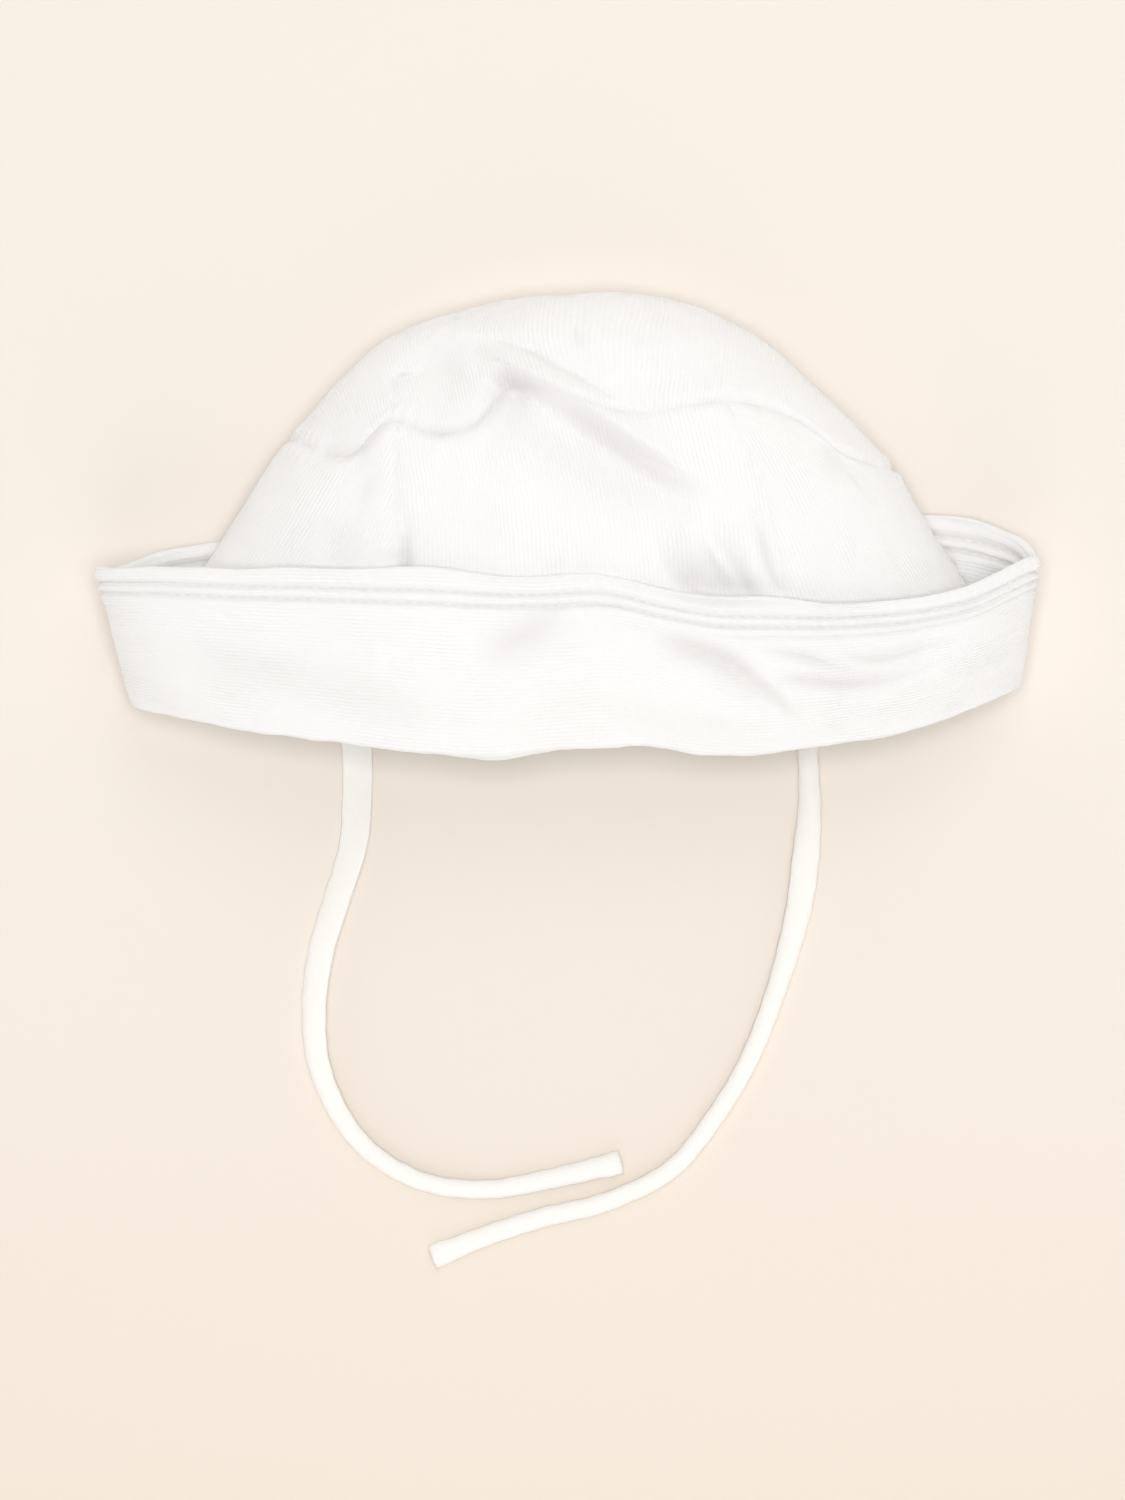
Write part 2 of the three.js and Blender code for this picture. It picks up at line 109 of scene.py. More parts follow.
# The tapes.
# Two flat woven cotton tapes tie the cap under the chin. Each is sewn inside the mouth, runs over
# the brim's fold and lies loose on the table, its edges curling under, with a turned end.
tape_width = 7.5
tape_thick = 0.9
tape_hem = 5.0
tape_columns = 17
lowest = 0.02
# The shaded tape colour is painted shade for the weave's valleys, mixed with random tone.
tape_pale = (0.97, 0.955, 0.93)
tape_shaded = (0.93, 0.908, 0.865)

# Points in millimetres, with how far each half curls under and how far the tape rolls, in degrees.
tape_routes = {
    "tie_left": [
        (-60, -32, 5, 5, 0),
        (-59, -37, 5, 5, 0),
        (-57, -42, 5.1, 5, 0),
        (-55.5, -46.5, 4.3, 5, 0),
        (-54, -51, 2.2, 5, 0),
        (-53, -57, 0.9, 8, 0),
        (-53, -68, 0.8, 12, -4),
        (-54, -80, 0.8, 26, -16),
        (-58, -93, 0.9, 34, -22),
        (-62, -106, 1, 40, -24),
        (-64, -120, 1.3, 50, -26),
        (-63, -135, 1.7, 70, -26),
        (-57, -149, 2, 92, -24),
        (-48, -159, 2.1, 106, -20),
        (-35, -165.5, 2, 112, -14),
        (-20, -167, 1.7, 110, -6),
        (-5, -164.5, 1.3, 102, 0),
        (13.5, -160, 0.8, 84, 8),
    ],
    "tie_right": [
        (66, -31, 5.1, 5, 0),
        (65, -36, 5.1, 5, 0),
        (63.5, -41, 5.1, 8, 0),
        (62, -45.5, 4.3, 30, 0),
        (61, -50.5, 2.4, 70, 0),
        (60.6, -57, 1.5, 98, 0),
        (61, -70, 2, 84, 0),
        (60, -84, 2.4, 48, 6),
        (58, -98, 2, 62, 8),
        (53, -116, 1.7, 96, 12),
        (46, -134, 1.8, 108, 14),
        (37, -149, 2, 112, 12),
        (26, -162, 1.9, 112, 6),
        (10, -170, 1.6, 108, 0),
        (-6, -174, 1.3, 104, 0),
        (-20, -178.5, 1, 100, 0),
        (-34, -184, 0.8, 82, -4),
    ],
}


def eased(share):
    """A share from 0 to 1, with a soft start and end."""
    share = np.clip(share, 0, 1)
    return share * share * (3 - 2 * share)


def smooth_line(points, steps):
    """The points of a smooth line through a list of points, with every column eased alike."""
    rows = np.array(points, float)
    rows = np.vstack([2 * rows[0] - rows[1], rows, 2 * rows[-1] - rows[-2]])
    out = []
    for i in range(1, len(rows) - 2):
        a, b, c, d = rows[i - 1 : i + 3]
        for k in range(steps):
            t = k / steps
            out.append(
                0.5 * (2 * b + (c - a) * t + (2 * a - 5 * b + 4 * c - d) * t**2
                       + (3 * b - a - 3 * c + d) * t**3)
            )
    out.append(rows[-2])
    return np.array(out)


def finished(name, mesh, material):
    """A named object from a mesh, riding on the cap."""
    obj = bpy.data.objects.new(name, mesh)
    bpy.context.scene.collection.objects.link(obj)
    mesh.materials.append(material)
    mesh.polygons.foreach_set("use_smooth", [True] * len(mesh.polygons))
    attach(obj, "root")
    return obj


def cloth_mesh(name, across, up, place, closed=False):
    """A grid of cloth, laid by place, which takes the grid's whole numbers and gives points in mm,
    the threads' own coordinates in mm, and how strongly painted shade darkens the cloth there, along
    its creases, seams and hem lines, from 0 to 1. A closed one has the points merged where its ends
    meet."""
    bm = bmesh.new()
    bmesh.ops.create_grid(bm, x_segments=across, y_segments=up, size=0.5)
    mesh = bpy.data.meshes.new(name)
    bm.to_mesh(mesh)
    bm.free()
    flat = np.empty(len(mesh.vertices) * 3, np.float32)
    mesh.vertices.foreach_get("co", flat)
    flat = flat.reshape(-1, 3)
    column = np.rint((flat[:, 0] + 0.5) * across).astype(int)
    row = np.rint((flat[:, 1] + 0.5) * up).astype(int)
    points, threads, painted_shade = place(column, row)
    mesh.vertices.foreach_set("co", (points * MM).astype(np.float32).ravel())
    mesh.attributes.new("threads", "FLOAT_VECTOR", "POINT").data.foreach_set(
        "vector", threads.astype(np.float32).ravel()
    )
    # The painted shade along creases, seams and hem lines rides on the mesh as an attribute.
    mesh.attributes.new("painted_shade", "FLOAT", "POINT").data.foreach_set(
        "value", np.broadcast_to(np.clip(painted_shade, 0, 1), column.shape).astype(np.float32).ravel()
    )
    if closed:
        bm = bmesh.new()
        bm.from_mesh(mesh)
        bmesh.ops.remove_doubles(bm, verts=bm.verts, dist=0.00002)
        bm.to_mesh(mesh)
        bm.free()
    mesh.update()
    return mesh


def run_along(points, axis=0):
    """How far each point lies from the first, along a line or along one way of a grid."""
    run = np.cumsum(np.linalg.norm(np.diff(points, axis=axis), axis=-1), axis=axis)
    return np.concatenate([np.zeros_like(run.take([0], axis)), run], axis=axis)


def tape(name, points):
    """One tape, woven flat, its halves curled under and the whole rolled along its line."""
    line = smooth_line(points, 14)
    middle, curl, roll = line[:, :3].copy(), np.radians(line[:, 3]), np.radians(line[:, 4])
    ahead = np.gradient(middle, axis=0)
    ahead /= np.linalg.norm(ahead, axis=1)[:, None]
    side = np.cross(ahead, [0.0, 0.0, 1.0])
    side /= np.linalg.norm(side, axis=1)[:, None]
    lift = np.cross(side, ahead)
    across = side * np.cos(roll)[:, None] + lift * np.sin(roll)[:, None]
    face = np.cross(across, ahead)
    radius = tape_width / 2 / curl
    rise = radius * (1 - np.cos(curl)) / 2
    reach = radius * np.sin(np.minimum(curl, np.pi / 2))
    low = rise * np.cos(roll) + reach * np.abs(np.sin(roll)) + tape_thick / 2
    middle[:, 2] = np.maximum(middle[:, 2], low)
    half = np.linspace(-1, 1, tape_columns)
    wide = np.r_[half, half[::-1]]
    thick = np.repeat([1.0, -1.0], tape_columns) * (1 - 0.5 * np.abs(wide) ** 9)
    around = len(wide)
    run = run_along(middle)

    def place(column, row):
        k = column % around
        angle = wide[k] * curl[row]
        body = 1 + 0.7 * eased((run[row] - run[-1] + tape_hem) / 0.8)
        edge = 0.10 * np.sin(run[row] * 0.9 + 2.0 * wide[k]) * wide[k] ** 2
        sink = 0.12 * np.exp(-(((run[row] - run[-1] + tape_hem - 0.9) / 0.35) ** 2))
        reach = radius[row] + thick[k] * (tape_thick / 2 * body - sink) + edge
        h = reach * np.cos(angle) - radius[row] + rise[row]
        at = middle[row] + across[row] * (reach * np.sin(angle))[:, None] + face[row] * h[:, None]
        at[:, 2] = np.maximum(at[:, 2], lowest)
        return at, np.c_[wide[k] * tape_width / 2, run[row], thick[k]], 0.0

    mesh = cloth_mesh(name, around, len(line) - 1, place, closed=True)
    bm = bmesh.new()
    bm.from_mesh(mesh)
    bmesh.ops.holes_fill(bm, edges=[e for e in bm.edges if e.is_boundary], sides=0)
    bmesh.ops.recalc_face_normals(bm, faces=bm.faces)
    bm.to_mesh(mesh)
    bm.free()
    return mesh, middle * MM, run[-1] * MM


def sums(tree, operation, first, second=0.0):
    """One step of arithmetic in a shader."""
    return node(tree, "ShaderNodeMath", {0: first, 1: second}, operation=operation).outputs[0]


def weave_group():
    """Ribbed cotton: rounded ribs across x, threads across y, and a little fuzz, all in mm."""
    group = bpy.data.node_groups.new("ribbed_cotton", "ShaderNodeTree")
    for name, kind, default in (
        ("Threads", "NodeSocketVector", (0, 0, 0)),
        ("Rib", "NodeSocketFloat", 1.1),
        ("Thread", "NodeSocketFloat", 0.45),
        ("Fuzz", "NodeSocketFloat", 0.25),
    ):
        group.interface.new_socket(name, in_out="INPUT", socket_type=kind).default_value = default
    for name in ("Height", "Shade"):
        group.interface.new_socket(name, in_out="OUTPUT", socket_type="NodeSocketFloat")
    given = group.nodes.new("NodeGroupInput").outputs
    threads = given["Threads"]
    part = node(group, "ShaderNodeSeparateXYZ", {0: threads}).outputs
    drift = node(group, "ShaderNodeTexNoise", {"Vector": threads, "Scale": 0.12, "Detail": 2.0})
    sway = sums(group, "MULTIPLY", sums(group, "SUBTRACT", drift.outputs["Fac"], 0.5), 0.9)
    x = sums(group, "DIVIDE", sums(group, "ADD", part["X"], sway), given["Rib"])
    rib = sums(group, "ABSOLUTE", sums(group, "SINE", sums(group, "MULTIPLY", x, math.pi)))
    rib = sums(group, "POWER", rib, 0.7)
    patch = node(group, "ShaderNodeTexNoise", {"Vector": threads, "Scale": 0.07, "Detail": 1.0})
    clear = node(
        group, "ShaderNodeMapRange",
        {"Value": patch.outputs["Fac"], "From Min": 0.35, "From Max": 0.65, "To Min": 0.35},
    )
    rib = sums(group, "MULTIPLY", rib, clear.outputs["Result"])
    y = sums(group, "DIVIDE", sums(group, "ADD", part["Y"], sway), given["Thread"])
    cross = sums(group, "ABSOLUTE", sums(group, "SINE", sums(group, "MULTIPLY", y, math.pi)))
    grain = node(group, "ShaderNodeTexNoise", {"Vector": threads, "Scale": 2.6, "Detail": 4.0})
    fuzz = sums(group, "MULTIPLY", grain.outputs["Fac"], given["Fuzz"])
    height = sums(group, "ADD", sums(group, "ADD", rib, sums(group, "MULTIPLY", cross, 0.25)), fuzz)
    cloud = node(group, "ShaderNodeTexNoise", {"Vector": threads, "Scale": 0.035, "Detail": 3.0})
    grains = sums(group, "MULTIPLY", grain.outputs["Fac"], 0.4)
    clouds = sums(group, "MULTIPLY", cloud.outputs["Fac"], 0.5)
    # Shade: painted shade darkens the rib valleys; the grain and the clouds are random tone in the
    # cloth.
    shade = sums(group, "ADD", sums(group, "MULTIPLY", rib, 0.6), grains)
    shade = sums(group, "ADD", sums(group, "MULTIPLY", shade, 0.7), clouds)
    out = group.nodes.new("NodeGroupOutput").inputs
    group.links.new(height, out["Height"])
    group.links.new(shade, out["Shade"])
    return group


ribbed_cotton = weave_group()
# Painted shade: the grey that the cloth is darkened towards along its dents, creases, seam grooves and
# hem lines.
painted_shade_grey = (0.775, 0.752, 0.755)


def cotton(name, pale, shaded, rib, thread, fuzz, depth, sheen=0.12):
    """White cotton, with painted shade between its ribs and along its creases over a random cloudy
    tone. Its ribs and threads are this wide and its relief this deep, in mm."""
    material = bpy.data.materials.new(name)
    material.use_nodes = True
    tree = material.node_tree
    shader = tree.nodes["Principled BSDF"]
    threads = node(tree, "ShaderNodeAttribute", attribute_name="threads").outputs["Vector"]
    weave = node(tree, "ShaderNodeGroup", node_tree=ribbed_cotton)
    tree.links.new(threads, weave.inputs["Threads"])
    for socket, value in (("Rib", rib), ("Thread", thread), ("Fuzz", fuzz)):
        weave.inputs[socket].default_value = value
    colour = node(
        tree, "ShaderNodeMix", {0: weave.outputs["Shade"], 6: (*shaded, 1), 7: (*pale, 1)},
        data_type="RGBA",
    )
    # Painted shade along the creases, seams and hem lines, mixed over the cloth's colour.
    painted_shade = node(tree, "ShaderNodeAttribute", attribute_name="painted_shade").outputs["Fac"]
    painted_shade_colour = node(
        tree, "ShaderNodeMix", {0: painted_shade, 6: colour.outputs[2], 7: (*painted_shade_grey, 1)}, data_type="RGBA"
    )
    tree.links.new(painted_shade_colour.outputs[2], shader.inputs["Base Color"])
    bump = node(
        tree, "ShaderNodeBump",
        {"Height": weave.outputs["Height"], "Strength": 1.0, "Distance": depth * MM},
    )
    tree.links.new(bump.outputs["Normal"], shader.inputs["Normal"])
    shader.inputs["Roughness"].default_value = 0.92
    shader.inputs["Specular IOR Level"].default_value = 0.25
    shader.inputs["Sheen Weight"].default_value = sheen
    shader.inputs["Sheen Roughness"].default_value = 0.5
    return material


tape_cotton = cotton(
    "tape_cotton", tape_pale, tape_shaded, rib=0.62, thread=0.5, fuzz=0.3, depth=0.06
)
for name, points in tape_routes.items():
    mesh, path, length = tape(name, points)
    obj = finished(name + "_tape", mesh, tape_cotton)
    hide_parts(name)


# The crown.
# Four panels of single ribbed cotton make a side band, closed by a round top panel. It has slumped
# on its back, so its front is dented, and each seam lies in a groove with small puckers beside it.
mouth_half_width = 108.0
crown_length = 113.0
crown_rise = 43.0
side_level = 10.0
crown_cloth = 1.2
brim_cloth = 2.0
brim_height = 45.0
brim_flare_left = 7.5
brim_flare_right = 3.5
brim_lift = 3.5
seam_ledge = 4.0
seam_gap = 0.3
front_seam_left = 40.0
front_seam_right = 55.0
top_seam_left = 41.0
top_seam_right = 41.0
back_seam = 46.0
front_squareness = 2.25
back_squareness = 3.4
front_of_mouth = -56.4
hollow_floor = brim_cloth + seam_gap + crown_cloth
# The shaded cotton colour is painted shade for the rib valleys, mixed with random tone.
cotton_pale = (0.925, 0.922, 0.924)
cotton_shaded = (0.862, 0.855, 0.853)

# A turn is a place along the crown, from 0 at the mouth to 1 at its end.
section_steps = 1440
line_steps = 5
far_off = 100.0
pole_turn = 0.995
settle_turn = 0.12
sewn_reach = 14.0
front_level = 13.5
front_blend = 14.0
gathered_from = 42.0

crown_sections = {
    "turn": [0.0, 0.1, 0.2, 0.3, 0.4, 0.5, 0.6, 0.7, 0.8, 0.9, 1.0],
    "left": [0.981, 0.963, 0.898, 0.792, 0.704, 0.609, 0.512, 0.417, 0.268, 0.115, -0.074],
    "right": [1.017, 0.995, 0.94, 0.855, 0.762, 0.656, 0.546, 0.442, 0.33, 0.2, 0.074],
    "middle": [0, 0, 0.01, 0.02, 0.03, 0.04, 0.05, 0.06, 0.066, 0.07, 0.074],
    "crest": [0.8, 0.87, 0.9, 0.92, 0.92, 0.885, 0.825, 0.735, 0.6, 0.44, 0.25],
    "under": [0, 0, 0, 0, 0, 0, 0, 0.01, 0.08, 0.35, 1],
}
mouth_front = {
    "across": [-1.0, -0.8, -0.49, -0.19, -0.017, 0.165, 0.35, 0.53, 0.76, 1.0],
    "forward": [0.272, 0.175, 0.067, 0.0, 0.039, 0.056, 0.0, 0.05, 0.15, 0.372],
}
mouth_back = {"across": [-1.0, -0.5, 0.5, 1.0], "forward": [0.272, 0.3, 0.33, 0.372]}
edge_front = {
    "across": [-1.0, -0.57, -0.25, -0.016, 0.11, 0.24, 0.37, 0.625, 0.86, 1.0],
    "forward": [1.0, 0.984, 0.968, 0.934, 0.951, 0.87, 0.817, 0.802, 0.879, 1.06],
}
edge_back = {
    "across": [-1.0, -0.9, -0.75, -0.3, 0.3, 0.77, 0.93, 1.0],
    "forward": [1.0, 1.09, 1.163, 1.26, 1.32, 1.29, 1.18, 1.06],
}
top_seam_front = {
    "across": [-0.64, -0.508, -0.416, -0.35, -0.289, -0.215, -0.13, 0.0, 0.15, 0.37, 0.507, 0.567,
               0.626, 0.74],
    "along": [0.686, 0.644, 0.715, 0.708, 0.69, 0.71, 0.79, 0.77, 0.735, 0.759, 0.733, 0.698,
              0.655, 0.62],
}
top_seam_back = {"across": [-0.64, 0.0, 0.74], "along": [0.686, 0.7, 0.62]}

# Dents and folds of the front, each a line of points: x, y, how wide and how deep, in mm. First come
# how sharp its foot is and how much steeper its left side is than its right.
crown_folds = [
    (1.6, 0.5, [(-22, 32.4, 4, 0), (-17.5, 31, 6.5, 3.4), (-13.5, 29.6, 8, 5.6),
        (-9, 28.2, 8, 5.8), (-4, 25.8, 8, 6.2), (3.4, 21, 8.2, 7.2),
        (14.2, 13.6, 8, 6.8), (21.6, 8.4, 7.2, 5), (27.6, 4.8, 6, 2.4), (32, 2.4, 4, 0)]),
    (1.6, 0, [(-20, 35.6, 1.8, 0), (-16.5, 33.8, 2.6, 3.6), (-12.5, 31.9, 2.8, 4.8),
        (-8, 30.4, 2.2, 2.6), (-4, 28.4, 2, 0.8), (0, 26, 2, 0)]),
    (1.4, 0, [(13, 19.6, 1.4, 0), (17, 16.6, 1.5, 1.2), (24, 13, 1.5, 1.4), (30, 10.2, 1.4, 0.8),
        (34, 8, 1.3, 0)]),
    (1.6, -0.2, [(-23, 41, 2.2, 0), (-17, 39.4, 2.6, -2), (-8.7, 36.2, 2.5, -3),
        (0, 32, 2.4, -3.2), (7.5, 26.8, 2.4, -3.2), (15.8, 20.8, 2.5, -3),
        (25, 15, 2.6, -2), (33, 10.5, 2.4, 0)]),
    (1.3, 0, [(-19, 44.6, 1.2, 0), (-14.4, 43.4, 1.3, 1.1), (-8, 41, 1.2, 1.4), (-1.6, 37.2, 1.2, 1.2),
        (3.5, 34.8, 1.3, 1.4), (9.4, 31, 1.4, 1.1), (15, 27.8, 1.5, 0.8), (22, 24.5, 1.5, 0)]),
    (2, 0, [(-43, 35, 5, 0), (-36, 37.5, 7, 2.4), (-29, 38.5, 7.5, 3.8), (-22, 37, 6, 2.6),
        (-17, 36, 4, 0)]),
    (1.5, 0.2, [(-45, 34.5, 1.8, 0), (-41, 36, 2, 1.1), (-36.5, 36.8, 1.8, 0.8), (-33, 39, 1.8, 0)]),
    (1.6, 0.3, [(-33, 46, 2.2, 0), (-27, 44.6, 2.6, 1.2), (-20, 44.2, 2.6, 1.3), (-14, 45.6, 2.2, 0)]),
    (1.7, -0.35, [(20, 1, 2.6, 0), (23.5, -4.8, 3.4, 1.6), (27, -11.2, 4.4, 3.6),
        (31.5, -15.8, 5.2, 5.4), (37.5, -18, 4.6, 4.8), (45, -19, 3.4, 2.2),
        (52, -19, 3, 0)]),
    (1.5, 0, [(36.5, -0.5, 1.8, 0), (38.2, -4.2, 2.2, 1.5), (40.8, -9.8, 2.4, 2.2),
        (44, -17.5, 2.6, 1.8)]),
    (1.5, 0, [(31.5, -1, 1.6, 0), (33, -6, 2, 1.1), (35.5, -11, 2, 1.4), (38, -16, 2, 0.8)]),
    (1.4, 0, [(45.4, 3, 1.6, 0), (46.6, -0.6, 1.9, 1.5), (49.1, -11.2, 2, 1.7),
        (51.8, -17, 2.2, 1.2)]),
    (2, 0, [(26, 3, 2.4, 0), (31, -3, 3.4, -1.4), (36.5, -9, 3.2, -1.6), (41, -14, 2.6, -0.6)]),
    (1.5, 0, [(-62, 19.5, 2, 0), (-58.5, 18, 2.6, 1.6), (-54.5, 18.6, 2.4, 1.5),
        (-50, 20.5, 2.2, 0.4)]),
    (1.6, 0, [(-57, 22.5, 1.6, 0), (-53, 21, 1.8, -0.9), (-49, 22.8, 1.6, 0)]),
    (1.8, 0, [(-47, 14, 2.2, 0), (-48.9, 11.6, 2.6, 0.9), (-51.1, 3.8, 2.8, 0.9), (-52, -3, 2.4, 0)]),
    (1.6, 0, [(-39.6, 4, 1.4, 0), (-39.8, -2, 1.7, 1.2), (-39.9, -8, 1.8, 2.2),
        (-40, -15, 1.9, 2.2)]),
    (2, 0, [(-62, 0, 4.5, 0), (-60, -5, 5, 0.9), (-57, -11, 4.5, 0.9)]),
    (1.6, 0.2, [(37, 29.5, 1.8, 0), (41, 30, 2.2, 1.2), (50, 28.6, 2.4, 1.4), (57, 25, 2.4, 1.2),
        (62, 19, 2.2, 0)]),
    (1.6, 0, [(60, 19, 2, 0), (64.5, 14.5, 2.2, 0.9), (67, 9, 2.2, 0)]),
    (1.7, 0, [(43, 24, 2, 0), (46.5, 20, 2.4, 0.8), (47.5, 13, 2.4, 0.5), (49, 7, 2.2, 0)]),
    (1.4, 0, [(1, 49.5, 1.2, 0), (1.8, 46.5, 1.4, 0.9), (3.6, 42, 1.4, 0.7), (5, 38.5, 1.2, 0)]),
    (1.4, 0, [(17.5, 50, 1.2, 0), (18.5, 45.8, 1.5, 0.7), (20.5, 40, 1.5, 0.6), (22, 36, 1.2, 0)]),
    (1.6, 0, [(-10, 55, 1.6, 0), (-5, 51.6, 2, 1), (0, 50.5, 2, 0.8), (6, 52.5, 1.6, 0)]),
    (1.8, 0, [(-36, 14, 3, 0), (-31, 8.5, 3.6, 0.7), (-27, 1, 3.2, 0)]),
    (2, 0, [(-12, -8, 6, 0), (0, -11, 8, 0.9), (12, -12, 6, 0)]),
    (1.8, 0, [(8, 10, 3.5, 0), (14, 4, 4, -0.8), (19, -3, 3.5, 0)]),
    (1.8, 0, [(66, -2, 4, 0), (70, -8, 5, 0.9), (74, -13, 4, 0.4)]),
]

# Where painted shade darkens the front along its creases, each a line of points: x, y, how wide,
# and how strong, from 0 to 1, after the same two numbers as a fold's.
crown_painted_shade = [
    (1.9, 0, [(-19, 38, 1.6, 0), (-15, 35.4, 3, 0.9), (-10.5, 33.6, 2.6, 0.85),
        (-4.5, 31.2, 2.2, 0.4), (3, 25.4, 2.8, 0.6), (13, 18.2, 3, 0.7), (21, 12.8, 2.8, 0.65),
        (27, 9.4, 2.4, 0.5), (33, 6.4, 1.8, 0.1)]),
    (1.9, 0, [(23, -5.5, 2.2, 0), (27, -11.5, 2.8, 0.3), (31.5, -16, 3.2, 0.5),
        (36.5, -17.4, 2.8, 0.4), (42, -18, 2, 0)]),
    (1.9, 0, [(-37, 37.6, 3, 0), (-29, 39, 5, 0.35), (-23, 38.2, 3, 0)]),
    (1.6, 0, [(-15, 43.4, 0.9, 0), (-8, 40.8, 1, 0.45), (-1.6, 37, 1, 0.35), (3.5, 34.6, 1, 0.4),
        (12, 29.4, 1.2, 0)]),
    (1.6, 0, [(-61, 19.2, 1.2, 0), (-58, 17.2, 1.5, 0.5), (-54, 16.6, 1.4, 0.5), (-50, 17.6, 1.2, 0.6),
        (-46, 21.5, 1.1, 0.5), (-43.5, 24.6, 1, 0)]),
    (1.7, 0, [(-40, 23.6, 1.1, 0), (-35, 21.8, 1.5, 0.45), (-28, 21.8, 1.7, 0.5), (-21, 24, 1.6, 0.45),
        (-16.5, 28.6, 1.4, 0.3), (-14, 32, 1.2, 0)]),
    (1.6, 0, [(37.6, -4, 1, 0), (40.6, -9.6, 1.3, 0.45), (43.6, -16, 1.5, 0.45)]),
    (1.6, 0, [(46.2, 1, 0.8, 0), (47.6, -5, 1.1, 0.6), (49.3, -11.2, 1, 0.6),
        (51.5, -17, 1.2, 0.3)]),
    (1.8, 0, [(-39.9, -3, 0.9, 0), (-40, -7, 1.3, 0.6), (-40, -14, 1.4, 0.9)]),
    (1.8, 0, [(-48, 12, 1.5, 0), (-49.6, 8, 2, 0.25), (-51, 3.5, 1.6, 0)]),
    (1.6, 0, [(1.2, 48.6, 0.7, 0), (2.4, 45, 0.9, 0.3), (3.8, 41.5, 0.8, 0)]),
    (1.8, 0, [(60, 19, 1.2, 0), (64.5, 14.5, 1.6, 0.3), (67, 10, 1.4, 0)]),
]


def look_up(table, key, column, at):
    """A column of a table at any place along it, on a smooth curve through the rows."""
    x, y = np.array(table[key], float), np.array(table[column], float)
    at = np.clip(at, x[0], x[-1])
    i = np.clip(np.searchsorted(x, at, side="right") - 1, 0, len(x) - 2)
    before, after = np.maximum(i - 1, 0), np.minimum(i + 2, len(x) - 1)
    span = x[i + 1] - x[i]
    t = (at - x[i]) / span
    slope_in = (y[i + 1] - y[before]) / (x[i + 1] - x[before]) * span
    slope_out = (y[after] - y[i]) / (x[after] - x[i]) * span
    return (
        (2 * t**3 - 3 * t**2 + 1) * y[i]
        + (t**3 - 2 * t**2 + t) * slope_in
        + (3 * t**2 - 2 * t**3) * y[i + 1]
        + (t**3 - t**2) * slope_out
    )


def section(left, right, middle, crest, under, side, shares):
    """A section's outline at shares of its length, from the right side over the front and back
    underneath, with its whole length."""
    angle = np.linspace(0, 2 * np.pi, section_steps + 1)
    cosine, sine = np.cos(angle), np.sin(angle)
    power = np.where(sine >= 0, 2 / front_squareness, 2 / back_squareness)
    x = middle + np.where(cosine >= 0, right - middle, -left - middle) * np.abs(cosine) ** power
    z = side + np.where(sine >= 0, crest - side, under - side) * np.abs(sine) ** power
    run = np.r_[0, np.cumsum(np.hypot(np.diff(x), np.diff(z)))]
    at = (shares - np.floor(shares)) * run[-1]
    return np.interp(at, run, x), np.interp(at, run, z), run[-1]


def turn_at(y):
    """How far a place along the cap lies from the mouth to the crown's end, from 0 to 1."""
    return np.arcsin(np.clip((y - front_of_mouth) / crown_length, 0, 1)) / (np.pi / 2)


def underside(turn):
    """The height of the hollow's underside, which comes down past the brim."""
    edge = turn_at(front_of_mouth + brim_height * max(edge_back["forward"]) + 2 * brim_cloth)
    low = hollow_floor + (crown_cloth - hollow_floor) * eased((turn - edge) / settle_turn)
    return low + (hollow_floor + side_level - low) * look_up(crown_sections, "turn", "under", turn)


def crown_size(turn, grown):
    """What a section of the crown is drawn from: its sides, middle, crest, underside and level."""
    half = {
        key: mouth_half_width * look_up(crown_sections, "turn", key, turn)
        for key in ("left", "right", "middle")
    }
    return (
        half["left"] + grown,
        half["right"] + grown,
        half["middle"],
        hollow_floor + crown_rise * look_up(crown_sections, "turn", "crest", turn) + grown,
        underside(turn) - grown,
        hollow_floor + side_level,
    )


lattice_turns = np.linspace(0, 1, 241)
lattice_shares = np.linspace(0, 1, 1201)
lattice = np.array(
    [section(*crown_size(t, crown_cloth), lattice_shares - 1e-9)[:2] for t in lattice_turns]
)
lattice[:, :, 0] = lattice[:, :, -1]


def crown_base(turn, share):
    """The crown's outer surface with no dents, in mm."""
    a = np.clip(turn, 0, 1) * (len(lattice_turns) - 1)
    b = (share - np.floor(share)) * (len(lattice_shares) - 1)
    i = np.minimum(a.astype(int), len(lattice_turns) - 2)
    j = np.minimum(b.astype(int), len(lattice_shares) - 2)
    p, q = (a - i)[:, None], (b - j)[:, None]
    at = (
        lattice[i, :, j] * (1 - p) * (1 - q) + lattice[i + 1, :, j] * p * (1 - q)
        + lattice[i, :, j + 1] * (1 - p) * q + lattice[i + 1, :, j + 1] * p * q
    )
    y = front_of_mouth + (crown_length + crown_cloth) * np.sin(np.clip(turn, 0, 1) * np.pi / 2)
    return np.c_[at[:, 0], y, at[:, 1]]


def crown_outwards(turn, share):
    """Which way the crown's outer surface looks."""
    step_turn, step_share = 0.004, 0.0012
    along = crown_base(turn + step_turn, share) - crown_base(turn - step_turn, share)
    around = crown_base(turn, share + step_share) - crown_base(turn, share - step_share)
    out = np.cross(along, around)
    length = np.linalg.norm(out, axis=1)[:, None]
    return np.where(length > 1e-9, out / np.maximum(length, 1e-9), [0.0, 1.0, 0.0])


